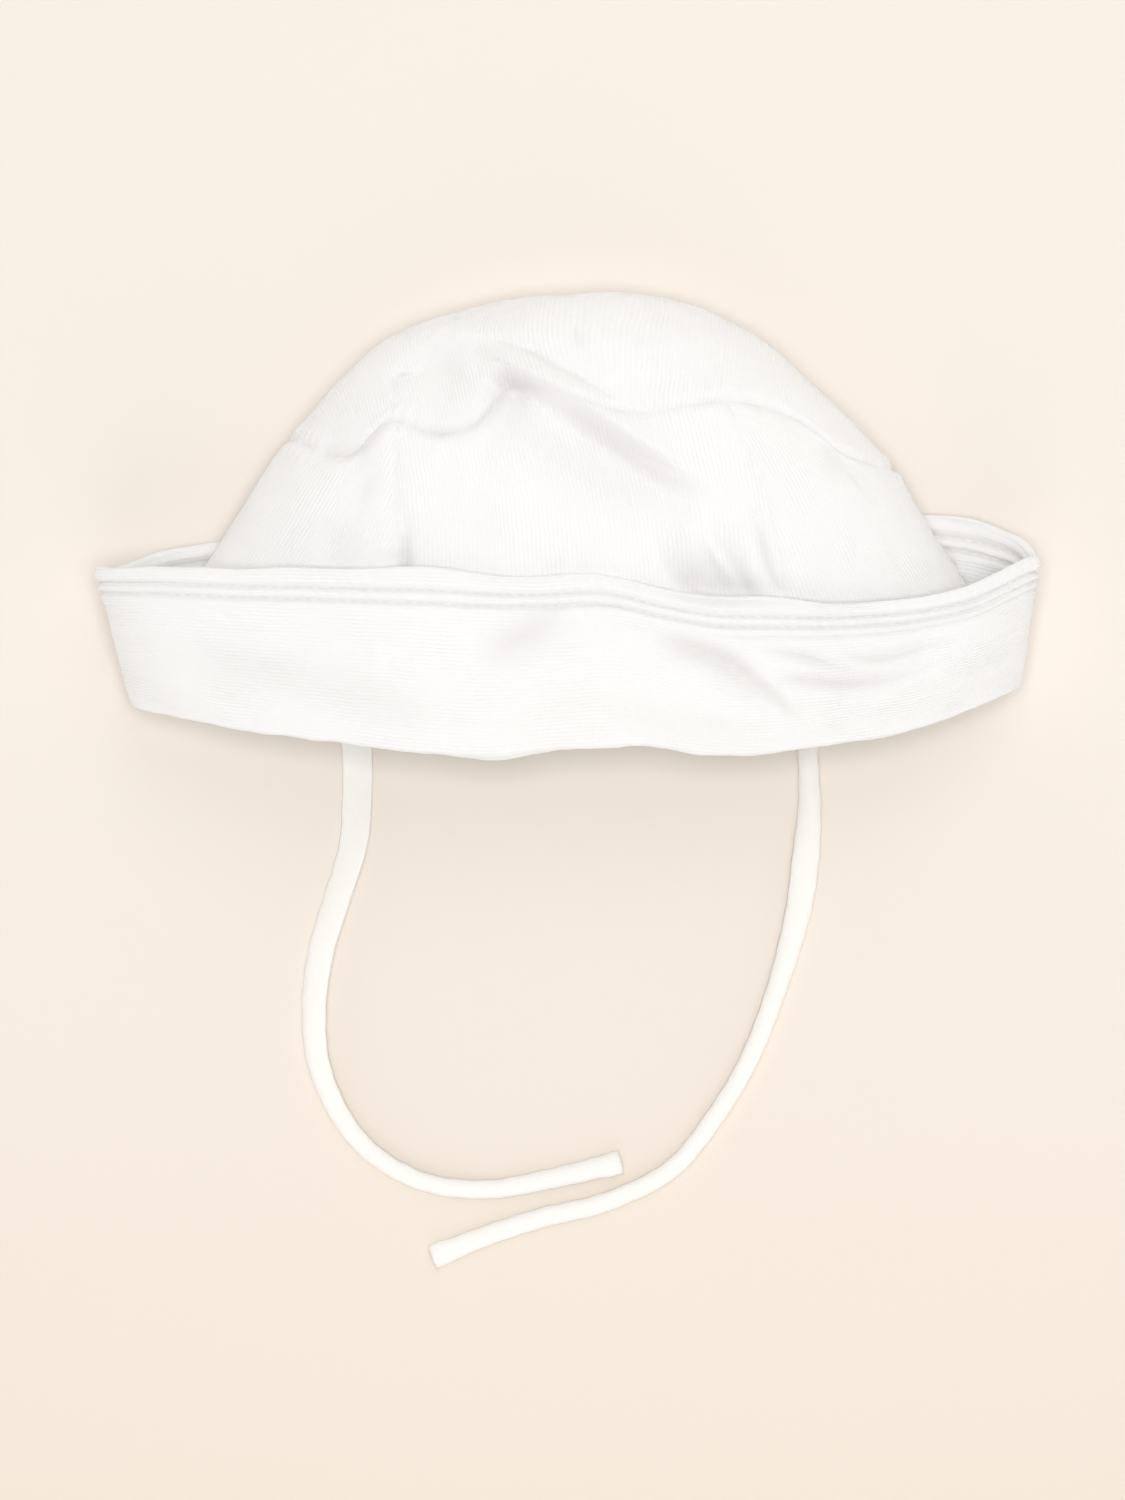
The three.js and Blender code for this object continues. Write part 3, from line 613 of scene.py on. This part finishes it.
def folds_at(folds, x, y):
    """How far the folds push a point of the front down, or how strongly painted shade darkens it along
    a crease.
    """
    depth = np.zeros(x.size)
    flat_x, flat_y = x.ravel(), y.ravel()
    for sharp, lean, points in folds:
        line = smooth_line(points, line_steps)
        reach = 3.5 * line[:, 2].max()
        near = np.flatnonzero(
            (flat_x > line[:, 0].min() - reach) & (flat_x < line[:, 0].max() + reach)
            & (flat_y > line[:, 1].min() - reach) & (flat_y < line[:, 1].max() + reach)
        )
        px, py = flat_x[near], flat_y[near]
        closest = np.full(near.size, np.inf)
        push = np.zeros(near.size)
        for start, end in zip(line[:-1], line[1:]):
            step = end - start
            t = ((px - start[0]) * step[0] + (py - start[1]) * step[1]) / (step[0] ** 2 + step[1] ** 2)
            t = np.clip(t, 0, 1)
            off_x, off_y = px - start[0] - t * step[0], py - start[1] - t * step[1]
            away = np.hypot(off_x, off_y)
            left = step[0] * off_y > step[1] * off_x
            wide = (start[2] + t * step[2]) * np.where(left, 1 - lean, 1 + lean)
            here = (start[3] + t * step[3]) * np.exp(-((away / wide) ** sharp))
            push = np.where(away < closest, here, push)
            closest = np.minimum(closest, away)
        depth[near] += push
    return depth.reshape(x.shape)


def wander(points, size, seed):
    """Slow soft noise, from -1 to 1, on patches of a size in mm."""
    return np.array(
        [noise.noise(Vector((x / size + seed, y / size, z / size))) for x, y, z in points]
    )


def seam_relief(distance, along):
    """A sewn seam's groove, its rounded shoulders and its small puckers, in mm."""
    uneven = np.sin(along * 0.31 + 1.7 * np.sin(along * 0.13))
    groove = -(0.65 + 0.2 * uneven) * np.exp(-((distance / 1.15) ** 2))
    shoulder = (0.2 + 0.12 * uneven) * np.exp(-(((distance - 3.2) / 1.8) ** 2))
    beside = 0.1 * np.exp(-(((distance - 2.4) / 2.2) ** 2))
    pucker = beside * np.sin(along * 1.25 + 2.6 * np.sin(along * 0.23))
    return groove, shoulder + pucker * (1 + np.sin(along * 0.17))


def sewn_edge(shares):
    """How far the crown's sewn edge spreads, across and up, to meet the brim's ledge all round."""
    up = seam_ledge / brim_height
    size = crown_size(0.0, 0.0)
    crest = crown_size(turn_at(front_of_mouth + seam_ledge), 0.0)[3]
    x, z, _ = section(
        size[0] + brim_flare_left * up + crown_cloth,
        size[1] + brim_flare_right * up + crown_cloth,
        0.0,
        crest + brim_lift * math.sin(math.pi * up) + crown_cloth,
        hollow_floor - crown_cloth,
        size[5] + side_level * up,
        shares,
    )
    start = crown_base(turn_at(ledge_y(shares)), shares)
    return np.c_[x - start[:, 0], 0 * x, z - start[:, 2]]


def crown_point(turn, share, to_top_seam, to_side_seam, to_mouth):
    """The crown's outer surface with its dents, seams and small unevenness, and the painted shade along
    its creases and seam grooves.
    """
    sewn = 1 - eased(to_mouth / sewn_reach)
    base = crown_base(turn, share)
    if np.any(sewn > 0):
        base = base + sewn[:, None] * sewn_edge(share)
    out = crown_outwards(turn, share)
    front = eased((base[:, 2] - front_level) / front_blend)
    dent = front * folds_at(crown_folds, base[:, 0], base[:, 1])
    top_groove, top_pucker = seam_relief(to_top_seam, (share - np.floor(share)) * 400)
    side_groove, side_pucker = (0.5 * part for part in seam_relief(to_side_seam, turn * 170))
    groove, pucker = np.minimum(top_groove, side_groove), top_pucker + side_pucker
    # Painted shade along the front's creases and in the seam grooves.
    painted_shade = front * folds_at(crown_painted_shade, base[:, 0], base[:, 1]) + 0.5 * (groove / 0.95) ** 2
    gathered = eased((base[:, 1] - gathered_from) / 10.0)
    soft = 0.95 * wander(base, 26.0, 3.1) + 0.42 * wander(base, 11.0, 7.7)
    soft += (0.08 + 0.3 * gathered) * wander(base * [1.3, 0.7, 1.0], 4.5, 4.4)
    above = eased((base[:, 2] - 1.2) / 4.0) * (1 - sewn)
    point = base + out * (groove + above * (pucker + soft))[:, None]
    point[:, 2] = np.maximum(point[:, 2] - dent, lowest)
    return point, painted_shade


def share_at_x(turn, x, on_front):
    """Where round a section of the crown a place across it lies, on its front or its back."""
    xs = lattice[int(round(turn * (len(lattice_turns) - 1))), 0]
    half = len(lattice_shares) // 2
    part = slice(0, half) if on_front else slice(half, None)
    order = np.argsort(xs[part])
    return float(np.interp(x, xs[part][order], lattice_shares[part][order]))


def line_y(shares, front, back):
    """How far along the cap a line round the mouth lies, from its front and back tables."""
    size = crown_size(0.0, 0.0)
    x, z, _ = section(*size, shares)
    across = np.clip(x / np.where(x > 0, size[1], size[0]), -1, 1)
    forward = np.where(
        z > size[5],
        look_up(front, "across", "forward", across),
        look_up(back, "across", "forward", across),
    )
    return front_of_mouth + brim_height * forward


def mouth_y(shares):
    """Where the brim's fold lies."""
    return line_y(shares, mouth_front, mouth_back)


def edge_y(shares):
    """Where the brim's edge lies."""
    return line_y(shares, edge_front, edge_back)


def ledge_y(shares):
    """Where the crown's edge lies, against the brim's sewn ledge."""
    low = mouth_y(shares)
    return low + (edge_y(shares) - low) * seam_ledge / brim_height + seam_gap


def turn_at_top_seam(shares):
    """The turn at which each column of the crown meets the top seam."""
    low, high = np.zeros_like(shares), np.ones_like(shares)
    left, right = top_seam_back["across"][0], top_seam_back["across"][-1]
    for _ in range(24):
        turn = (low + high) / 2
        at = crown_base(turn, shares)
        across = np.clip(at[:, 0] / mouth_half_width, left, right)
        along = np.where(
            at[:, 2] > hollow_floor + side_level,
            look_up(top_seam_front, "across", "along", across),
            look_up(top_seam_back, "across", "along", across),
        )
        y = front_of_mouth + (crown_length + crown_cloth) * np.sin(turn * np.pi / 2)
        below = y < front_of_mouth + crown_length * along
        low, high = np.where(below, turn, low), np.where(below, high, turn)
    return (low + high) / 2


top_seam_turn = 0.51
seams = [
    (share_at_x(0.0, front_seam_right, True), share_at_x(top_seam_turn, top_seam_right, True)),
    (share_at_x(0.0, -front_seam_left, True), share_at_x(top_seam_turn, -top_seam_left, True)),
    (share_at_x(0.0, -back_seam, False), share_at_x(top_seam_turn, -top_seam_left, False)),
    (share_at_x(0.0, back_seam, False), share_at_x(top_seam_turn, top_seam_right, False)),
]
crown_cotton = cotton(
    "crown_cotton", cotton_pale, cotton_shaded, rib=1.1, thread=0.5, fuzz=0.5, depth=0.11, sheen=0.3
)


def laid(points, threads, painted_shade):
    """What a grid of cloth is laid by. Where a grid closes, its last row is its first again."""

    def place(column, row):
        row = row % points.shape[1]
        return points[column, row], threads[column, row], painted_shade[column, row]

    return place


def panel(name, from_seam, to_seam, across, up):
    """One panel of the side band, cut with its ribs running from the mouth to the top seam."""
    share = np.linspace(0, 1, across + 1)[:, None]
    mouth = to_seam[0] + (from_seam[0] - to_seam[0]) * share
    upper = to_seam[1] + (from_seam[1] - to_seam[1]) * share
    flat_mouth, flat_upper = mouth.ravel(), upper.ravel()
    start = turn_at(ledge_y(flat_mouth))[:, None]
    end = turn_at_top_seam(flat_upper)[:, None]
    level = np.linspace(0, 1, up + 1)[None, :]
    turns = (start + (end - start) * level).ravel()
    shares = (mouth + (upper - mouth) * level).ravel()
    base = crown_base(turns, shares).reshape(across + 1, up + 1, 3)
    round_run, up_run = run_along(base, 0), run_along(base, 1)
    to_side = np.minimum(round_run, round_run[-1] - round_run)
    to_top = up_run[:, -1:] - up_run
    points, painted_shade = crown_point(turns, shares, to_top.ravel(), to_side.ravel(), up_run.ravel())
    points, painted_shade = points.reshape(base.shape), painted_shade.reshape(base.shape[:2])
    threads = np.stack([round_run - round_run[-1] / 2, up_run, np.minimum(to_side, to_top)], axis=2)
    return cloth_mesh(name, across, up, laid(points, threads, painted_shade))


def with_thickness(obj, thick):
    """Gives a sheet its wall, inwards, with a crisp cut edge."""
    bm = bmesh.new()
    bm.from_mesh(obj.data)
    for edge in bm.edges:
        edge.smooth = not edge.is_boundary
    bm.to_mesh(obj.data)
    bm.free()
    wall = obj.modifiers.new("cloth", "SOLIDIFY")
    wall.thickness = thick * MM
    wall.offset = -1


panel_columns = {"crown_front": 160, "crown_left": 110, "crown_back": 80, "crown_right": 110}
panel_rows = 130
top_rows = 90
top_shares, top_side = [], []
seams.append((seams[0][0] + 1, seams[0][1] + 1))
for i, (name, across) in enumerate(panel_columns.items()):
    to_seam = seams[i + 1]
    mesh = panel(name, seams[i], to_seam, across, panel_rows)
    obj = finished(name + "_panel", mesh, crown_cotton)
    with_thickness(obj, crown_cloth)
    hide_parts(name)
    top_shares.append(np.linspace(seams[i][1], to_seam[1], across + 1)[:-1])
    seam_line = crown_base(turn_at_top_seam(top_shares[-1]), top_shares[-1])
    seam_run = run_along(seam_line)
    top_side.append(np.minimum(seam_run, seam_run[-1] + seam_run[1] - seam_run))
top_shares = np.r_[np.concatenate(top_shares), top_shares[0][0] + 1][::-1]
top_side = np.r_[np.concatenate(top_side), 0.0][::-1]


def top_panel(name, shares, to_side, up):
    """The round top panel, from its seam to the crown's end."""
    around = len(shares) - 1
    start = turn_at_top_seam(shares)[:, None]
    level = np.linspace(0, 1, up + 1)[None, :]
    turns = (start + (pole_turn - start) * level).ravel()
    wide = np.repeat(shares, up + 1)
    base = crown_base(turns, wide).reshape(around + 1, up + 1, 3)
    up_run = run_along(base, 1)
    away = np.hypot(to_side[:, None], up_run)
    to_mouth = np.full(wide.size, far_off)
    points, painted_shade = crown_point(turns, wide, up_run.ravel(), away.ravel(), to_mouth)
    points, painted_shade = points.reshape(base.shape), painted_shade.reshape(base.shape[:2])
    points[:, -1] = points[:-1, -1].mean(axis=0)
    to_pole = up_run[:, -1:] - up_run
    angle = 2 * np.pi * (shares - 0.25)[:, None]
    threads = np.stack([-to_pole * np.sin(angle), to_pole * np.cos(angle), up_run], axis=2)
    return cloth_mesh(name, around, up, laid(points, threads, painted_shade), closed=True)


mesh = top_panel("crown_top", top_shares, top_side, top_rows)
obj = finished("crown_top_panel", mesh, crown_cotton)
with_thickness(obj, crown_cloth)
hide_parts("crown_top")


# The binding.
# A narrow cotton tape covers the seam inside the mouth, sewn down along both its edges. The ties
# come out over it.
binding_columns = 420
sewn_down = 0.42

# The binding's section, each row its distance past the seam and its depth inside the cloth, in mm.
binding_depth = [
    (-0.5, 0.1), (-0.8, 0.35), (-0.5, 0.62), (0.1, 0.7), (0.7, 0.66), (1.05, sewn_down),
    (1.4, 0.66), (2.2, 0.72), (3.2, 0.74), (4.2, 0.74), (5.2, 0.72), (6.0, 0.66),
    (6.35, sewn_down), (6.7, 0.66), (7.1, 0.68), (7.5, 0.6), (7.7, 0.35), (7.5, 0.1),
]


def binding_mesh(name, around):
    """The binding as one ring inside the mouth."""
    shares = np.linspace(1, 0, around + 1)
    low = ledge_y(shares)
    no_seam = np.full(shares.size, far_off)
    rings = []
    for past, deep in binding_depth:
        turns = turn_at(low + past)
        ring, _ = crown_point(turns, shares, no_seam, no_seam, np.full(shares.size, max(past, 0.0)))
        rings.append(ring - (crown_cloth + deep) * crown_outwards(turns, shares))
    grid = np.stack(rings, axis=1)
    grid[-1] = grid[0]
    run = run_along(grid[:, 0])
    run = np.abs(run - run[-1] / 2)
    count = len(binding_depth)
    past = np.tile([row[0] for row in binding_depth], (len(run), 1))
    threads = np.stack([past, np.repeat(run[:, None], count, axis=1), past], axis=2)
    return cloth_mesh(name, around, count, laid(grid, threads, 0 * past), closed=True), grid


mesh, binding_points = binding_mesh("mouth_binding", binding_columns)
finished("mouth_binding", mesh, crown_cotton)


# The brim.
# A band of ribbed cotton, doubled and sewn round the mouth, then turned up. Two rows of stitching
# hold its edge, which ripples a little, and its fold is soft.
fold_round = 1.6
fold_rows = 8
edge_round = 0.9
brim_columns = 620
front_share = 0.62

# The hem's rows, each by how far it lies below the edge, and the raised ones by their height too.
stitch_rows = (4.6, 7.9)
groove_deep = 0.95
groove_wide = 0.75
raised_rows = ((2.2, 0.5), (6.25, 0.5), (9.6, 0.28))
raised_wide = 1.25
third_row = 11.0
third_from = 28.0
third_fade = 22.0

# Where the fold bulges towards the tapes, and how far.
lip_deep = 1.3
lip_at = -16.0
lip_wide = 15.0

# The brim's folds, and the painted shade along its creases, laid out as the crown's are.
brim_folds = [
    (1.7, 0.35, [(19, -27, 2.6, 0), (28, -30.6, 3.4, 3), (36, -33.6, 3.6, 4), (44, -38.6, 3.4, 4),
        (51, -44.6, 3.2, 2.6), (57, -51, 3, 0.3)]),
    (2, 0, [(32, -40, 5, -0.3), (38, -47.5, 6, -1.9), (41, -54, 5.5, -1.5)]),
    (2, 0, [(4, -20, 4, 0), (-4, -24, 5, 2), (-14, -29.5, 6, 2.8), (-25, -35, 6, 0.7),
        (-33, -40, 6, 0)]),
    (2, 0, [(-100, -28, 7, 0), (-86, -34.5, 8, 1.2), (-62, -39, 8.5, 1.4), (-44, -46.5, 7, 1),
        (-34, -52, 6, 0)]),
    (1.5, 0, [(44, -30.5, 1.8, 0), (53, -32, 2, 2.3), (63, -34.6, 2, 2.2), (72, -37.5, 1.8, 1),
        (80, -39, 1.8, 0)]),
    (1.5, 0, [(46, -36.4, 1.9, 0), (56, -38.4, 2.1, 2.2), (69, -39.4, 2.2, 2.6), (82, -37.6, 2, 1.6),
        (92, -33.6, 1.8, 0)]),
    (1.4, 0, [(66, -31.6, 1.4, 0), (74, -33.2, 1.8, 2), (83, -31.6, 1.7, 2.2), (90, -28.6, 1.5, 1.2),
        (96, -26, 1.4, 0)]),
    (1.5, 0, [(80, -36, 1.6, 0), (88, -34.8, 1.8, 1.4), (96, -30, 1.6, 0)]),
    (1.6, 0, [(60, -43.5, 2, 0), (69, -45, 2.4, 1.5), (79, -43, 2, 0)]),
    (1.7, 0, [(47, -47, 3, 0), (55, -42.5, 3.6, -1.5), (61, -41.6, 3, 0)]),
    (2, 0, [(-6, -37, 11, -0.5), (8, -40, 13, -1.9), (21, -45, 11, -1.2)]),
    (1.6, 0, [(-46.3, -27, 1.7, 0), (-46.8, -34, 1.9, -0.6), (-47.5, -42, 1.7, 0)]),
    (2, 0, [(-97, -43, 5, 0), (-85, -48.5, 5, 0.6), (-70, -51.5, 5, 0)]),
    (1.6, 0, [(17, -49, 2.2, 0), (24, -52.5, 2.4, 0.9), (30, -56, 2.2, 0.3)]),
    (1.6, 0, [(20, -16, 2.4, 0), (33, -18.6, 2.8, 1.3), (46, -20.2, 2.6, 1), (60, -20.4, 2.2, 0)]),
    (1.8, 0, [(76, -46, 3, 0), (88, -44, 3.4, 0.8), (100, -38, 3.2, 0)]),
    (1.8, 0, [(-80, -24, 3, 0), (-66, -26.5, 3.6, 0.6), (-52, -25, 3, 0)]),
]
brim_painted_shade = [
    (1.9, 0, [(21, -28.5, 2, 0), (28.6, -30.8, 2.8, 0.7), (38, -34, 2.6, 0.75),
        (44.5, -38.8, 2.2, 0.7), (51.5, -45, 1.6, 0.4), (55, -48, 1.4, 0)]),
    (1.9, 0, [(1, -21.5, 3, 0), (-7, -26, 4, 0.5), (-15, -30, 4, 0.5), (-24, -34, 3, 0)]),
    (1.7, 0, [(46, -31.4, 1, 0), (54, -33, 1.3, 0.45), (63, -35.4, 1.3, 0.45), (73, -38.4, 1, 0)]),
    (1.7, 0, [(50, -38.4, 1.2, 0), (58, -39.2, 1.7, 0.6), (69, -40.2, 1.8, 0.7), (81, -38.2, 1.4, 0.4),
        (90, -35, 1, 0)]),
    (1.7, 0, [(68, -33, 1, 0), (75, -34, 1.4, 0.55), (83, -32.4, 1.3, 0.55), (91, -29, 1, 0)]),
    (1.9, 0, [(22, -16.5, 1.6, 0), (33, -18.8, 2.4, 0.5), (46, -20.2, 2, 0.35), (58, -20.4, 1.5, 0)]),
    (2, 0, [(-98, -29, 5, 0), (-84, -35, 6, 0.3), (-60, -39.5, 6, 0.3), (-42, -47, 5, 0.25),
        (-34, -52, 4, 0)]),
]
brim_cotton = cotton(
    "brim_cotton", cotton_pale, cotton_shaded, rib=1.05, thread=0.5, fuzz=0.5, depth=0.125, sheen=0.3
)
mouth_size = crown_size(0.0, 0.0)


def brim_surface(shares, up, grown):
    """Points of the brim at a height up from the mouth line, grown outwards from the hollow."""
    share_up = np.clip(up / brim_height, 0, 1)
    stand = brim_lift * math.sin(math.pi * share_up)
    crest = crown_size(turn_at(front_of_mouth + brim_height * share_up), 0.0)[3]
    left = mouth_size[0] + brim_flare_left * share_up + grown
    right = mouth_size[1] + brim_flare_right * share_up + grown
    side = mouth_size[5] + side_level * share_up
    x, z, _ = section(left, right, 0.0, crest + stand + grown, hollow_floor - grown, side, shares)
    low, high = mouth_y(shares), edge_y(shares)
    y = low + up if up < 0 else low + (high - low) * up / brim_height
    front = eased((z - side) / (0.5 * (crest + stand - side)))
    free = eased(np.array(up / (0.25 * brim_height)))
    z = z - front * free * folds_at(brim_folds, x, y)
    return np.c_[x, y, z]


def brim_profile():
    """The doubled band's section: round the fold, up the outside, over the edge and down inside.
    Each row is a height up, how far it is grown, and which way its face looks."""
    inside = crown_cloth + seam_gap
    outside = inside + brim_cloth
    rows = []
    for angle in np.linspace(0, math.pi, fold_rows + 1)[:-1]:
        rows.append((-fold_round * math.sin(angle), outside * (1 - math.cos(angle)) / 2, 0))
    rows += [(up, outside, 1) for up in np.linspace(0, 33.6, 39)]
    rows += [(up, outside, 1) for up in np.linspace(34, brim_height, 32)]
    middle = (inside + outside) / 2
    for angle in np.linspace(0, math.pi, 7)[1:-1]:
        up = brim_height + edge_round * math.sin(angle)
        rows.append((up, middle + brim_cloth / 2 * math.cos(angle), 0))
    rows += [(up, inside, -1) for up in np.linspace(brim_height, 35.5, 22)]
    rows += [(up, inside, -1) for up in np.linspace(34, seam_ledge, 19)]
    rows += [(seam_ledge, 0.6, 0), (seam_ledge, 0.0, 0), (seam_ledge / 2, 0.0, 0)]
    return rows


def third_line(x):
    """How much of the third hem line shows: it fades in towards the right."""
    return eased((x - third_from) / third_fade)


def hem_relief(x, run, below):
    """The hem's stitched grooves, the cloth raised between them and its fine ripple, in mm."""
    relief = np.zeros(run.shape)
    for row in stitch_rows:
        relief -= groove_deep * np.exp(-(((below - row) / groove_wide) ** 2))
    relief -= 0.6 * third_line(x) * np.exp(-(((below - third_row) / 0.8) ** 2))
    for row, high in raised_rows:
        relief += high * np.exp(-(((below - row) / raised_wide) ** 2))
    ripple = np.sin(run * 2 * np.pi / 3.4 + 2.2 * np.sin(run * 0.19))
    ripple *= 0.75 + 0.45 * np.sin(run * 0.11)
    pulled = 1 + 1.6 * np.exp(-(((x - 12) / 12.0) ** 2)) + 0.8 * eased((x - 30) / 20.0)
    relief += 0.09 * pulled * ripple * np.exp(-(((below - 6.3) / 2.4) ** 2))
    relief += 0.06 * pulled * ripple * np.exp(-(((below - 1.5) / 2.0) ** 2))
    return relief


def hem_painted_shade(grid, below, faces):
    """How far painted shade greys the brim's cloth along its stitched grooves and creases."""
    x, y, z = grid[:, :, 0], grid[:, :, 1], grid[:, :, 2]
    # Painted shade along the stitched grooves, the third hem line and the brim's creases.
    painted_shade = sum(0.6 * np.exp(-(((below - row) / 0.6) ** 2)) for row in stitch_rows) * np.abs(faces)
    painted_shade = painted_shade + 0.35 * third_line(x) * np.exp(-(((below - third_row) / 0.7) ** 2)) * (faces > 0)
    return painted_shade + folds_at(brim_painted_shade, x, y) * (z > 15) * (faces > 0)


def brim_unevenness(grid, run, level, faces):
    """The lumps along the fold, the gathers under the brim and its slow waves, in mm outwards."""
    flat, z = grid.reshape(-1, 3), grid[:, :, 2]
    soft = wander(flat, 24.0, 1.3) + 0.36 * wander(flat * [0.6, 1.6, 1.0], 9.0, 5.9)
    soft = soft.reshape(run.shape) * eased(level / 8.0) * eased((z - 2.5) / 5.0)
    gather = 0.35 * np.sin(run * 2 * np.pi / 5.2 + 1.7 * np.sin(run * 0.31))
    gather *= 1 + 0.8 * np.sin(run * 0.17)
    gather *= eased((level - 6) / 10.0) * (faces < 0) * eased((9.0 - z) / 4.0)
    folded = np.exp(-((np.maximum(level, 0) / 5.0) ** 2)) * (faces >= 0) * eased((z - 1.5) / 4.0)
    lumps = 0.5 * wander(flat, 9.0, 8.8) + 0.22 * wander(flat, 4.0, 6.1)
    lumps = folded * lumps.reshape(run.shape) * eased((10.0 - np.abs(level)) / 3.0)
    return lumps, gather, np.where(faces < 0, -1.0, 1.0) * soft


def brim_mesh(name, around):
    """The brim as one ring, finer over its front."""
    profile = brim_profile()
    u = np.linspace(1, 0, around + 1)
    back_share = 1 - front_share
    shares = np.where(
        u < front_share, u / front_share * 0.5, 0.5 + (u - front_share) / back_share * 0.5
    )
    grid = np.stack([brim_surface(shares, up, grown) for up, grown, _ in profile], axis=1)
    grid[-1] = grid[0]
    run = run_along(grid)
    run = np.abs(run - run[-1:] / 2)
    around_step = np.roll(grid[:-1], -1, axis=0) - np.roll(grid[:-1], 1, axis=0)
    around_step = np.concatenate([around_step, around_step[:1]])
    up_step = np.roll(grid, -1, axis=1) - np.roll(grid, 1, axis=1)
    out = np.cross(around_step, up_step)
    out /= np.maximum(np.linalg.norm(out, axis=2), 1e-9)[:, :, None]
    level = np.array([up for up, _, _ in profile])[None, :]
    faces = np.array([face for _, _, face in profile])[None, :]
    below = brim_height - level
    painted_shade = hem_painted_shade(grid, below, faces)
    hem = hem_relief(grid[:, :, 0], run, below) * np.abs(faces)
    lumps, gather, soft = brim_unevenness(grid, run, level, faces)
    points = grid + out * (hem + lumps + gather + soft)[:, :, None]
    x, z = grid[:, :, 0], grid[:, :, 2]
    lip = lip_deep * np.exp(-(((x - lip_at) / lip_wide) ** 2)) * (level < 0) * (z > 20)
    grown = np.array([grown for _, grown, _ in profile])[None, :]
    points[:, :, 1] -= lip * eased((fold_round - grown) / 1.2)
    round_run = run[:, fold_rows : fold_rows + 1]
    edge = wander(np.c_[round_run, 0 * round_run, 0 * round_run], 18.0, 2.2)
    points[:, :, 1] += 0.5 * edge[:, None] * eased((level - 30) / 15.0)
    points[-1] = points[0]
    points[:, :, 2] = np.maximum(points[:, :, 2], lowest)
    count = len(profile)
    up_run = np.tile(run_along(grid[int(around * 0.6)]), (len(run), 1))
    to_edge = np.repeat(below, len(run), axis=0)
    threads = np.stack([up_run, np.repeat(round_run, count, axis=1), to_edge], axis=2)
    mesh = cloth_mesh(name, around, count, laid(points, threads, painted_shade), closed=True)
    return mesh, points, profile


mesh, brim_points, profile = brim_mesh("brim", brim_columns)
brim = finished("brim_band", mesh, brim_cotton)
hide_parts("brim")


# The stitching.
# Two rows of lockstitch in white cotton thread run round the brim near its edge and two along the
# binding, each stitch sunk into the cloth.
thread_thick = 0.34
stitch_length = 2.3
stitch_pitch = 2.75
# The thread takes the cotton's shaded colour as painted shade in its valleys.
thread_pale = (0.92, 0.915, 0.91)
thread_cotton = cotton(
    "thread_cotton", thread_pale, cotton_shaded, rib=0.3, thread=0.3, fuzz=0.2, depth=0.05
)

stitches = bmesh.new()
seam_lines = [binding_points[:, i] for i, (_, deep) in enumerate(binding_depth) if deep == sewn_down]
for face in (1, -1):
    rows = [i for i, row in enumerate(profile) if row[2] == face]
    for below in stitch_rows:
        nearest = min(rows, key=lambda i: abs(brim_height - profile[i][0] - below))
        seam_lines.append(brim_points[:, nearest])
for line in seam_lines:
    run = run_along(line)
    count = int(run[-1] // stitch_pitch)
    for k in range(count):
        start = run[-1] * k / count
        ends = [
            Vector([np.interp(at, run, line[:, axis]) for axis in range(3)])
            for at in (start, start + stitch_length)
        ]
        along = (ends[1] - ends[0]).normalized()
        turned = along.to_track_quat("X", "Z").to_matrix().to_4x4()
        made = bmesh.ops.create_icosphere(stitches, subdivisions=1, radius=0.5)["verts"]
        bmesh.ops.scale(stitches, verts=made, vec=(stitch_length, thread_thick * 1.3, thread_thick))
        bmesh.ops.transform(stitches, matrix=turned, verts=made)
        bmesh.ops.translate(stitches, verts=made, vec=(ends[0] + ends[1]) / 2)
bmesh.ops.scale(stitches, verts=stitches.verts, vec=(MM, MM, MM))
mesh = bpy.data.meshes.new("brim_stitches")
stitches.to_mesh(mesh)
stitches.free()
finished("brim_stitches", mesh, thread_cotton)


# The light.
# A wide soft light hangs overhead, weaker ones stand before and beyond the cap, and the room is pale
# all round, so the shadows are faint and a little warm.
room_white = (1.0, 0.99, 0.975)
lights_face = Vector((0, -0.05, 0))

world = bpy.data.worlds.new("pale_room")
world.use_nodes = True
tree = world.node_tree
height = node(tree, "ShaderNodeSeparateXYZ", {0: node(tree, "ShaderNodeTexCoord").outputs["Generated"]})
glow = node(
    tree, "ShaderNodeMapRange",
    {"Value": height.outputs["Z"], "From Max": 0.6, "To Min": 1.45, "To Max": 0.34},
)
tree.nodes["Background"].inputs["Color"].default_value = (*room_white, 1)
tree.links.new(glow.outputs["Result"], tree.nodes["Background"].inputs["Strength"])
bpy.context.scene.world = world

for name, place, size, watts in (
    ("soft_overhead", (0.0, -0.05, 1.7), 0.6, 13.8),
    ("soft_key", (0.3, 0.8, 1.2), 0.9, 2.8),
    ("soft_fill", (0.1, -1.1, 1.0), 0.9, 2.7),
):
    light = bpy.data.objects.new(name, bpy.data.lights.new(name, "AREA"))
    light.data.size = size
    light.data.energy = watts
    light.data.color = room_white
    light.location = place
    light.rotation_euler = (lights_face - light.location).to_track_quat("-Z", "Y").to_euler()
    bpy.context.scene.collection.objects.link(light)

bpy.context.scene.view_settings.view_transform = "Standard"
bpy.context.scene.view_settings.look = "None"
bpy.context.scene.view_settings.exposure = 0.0
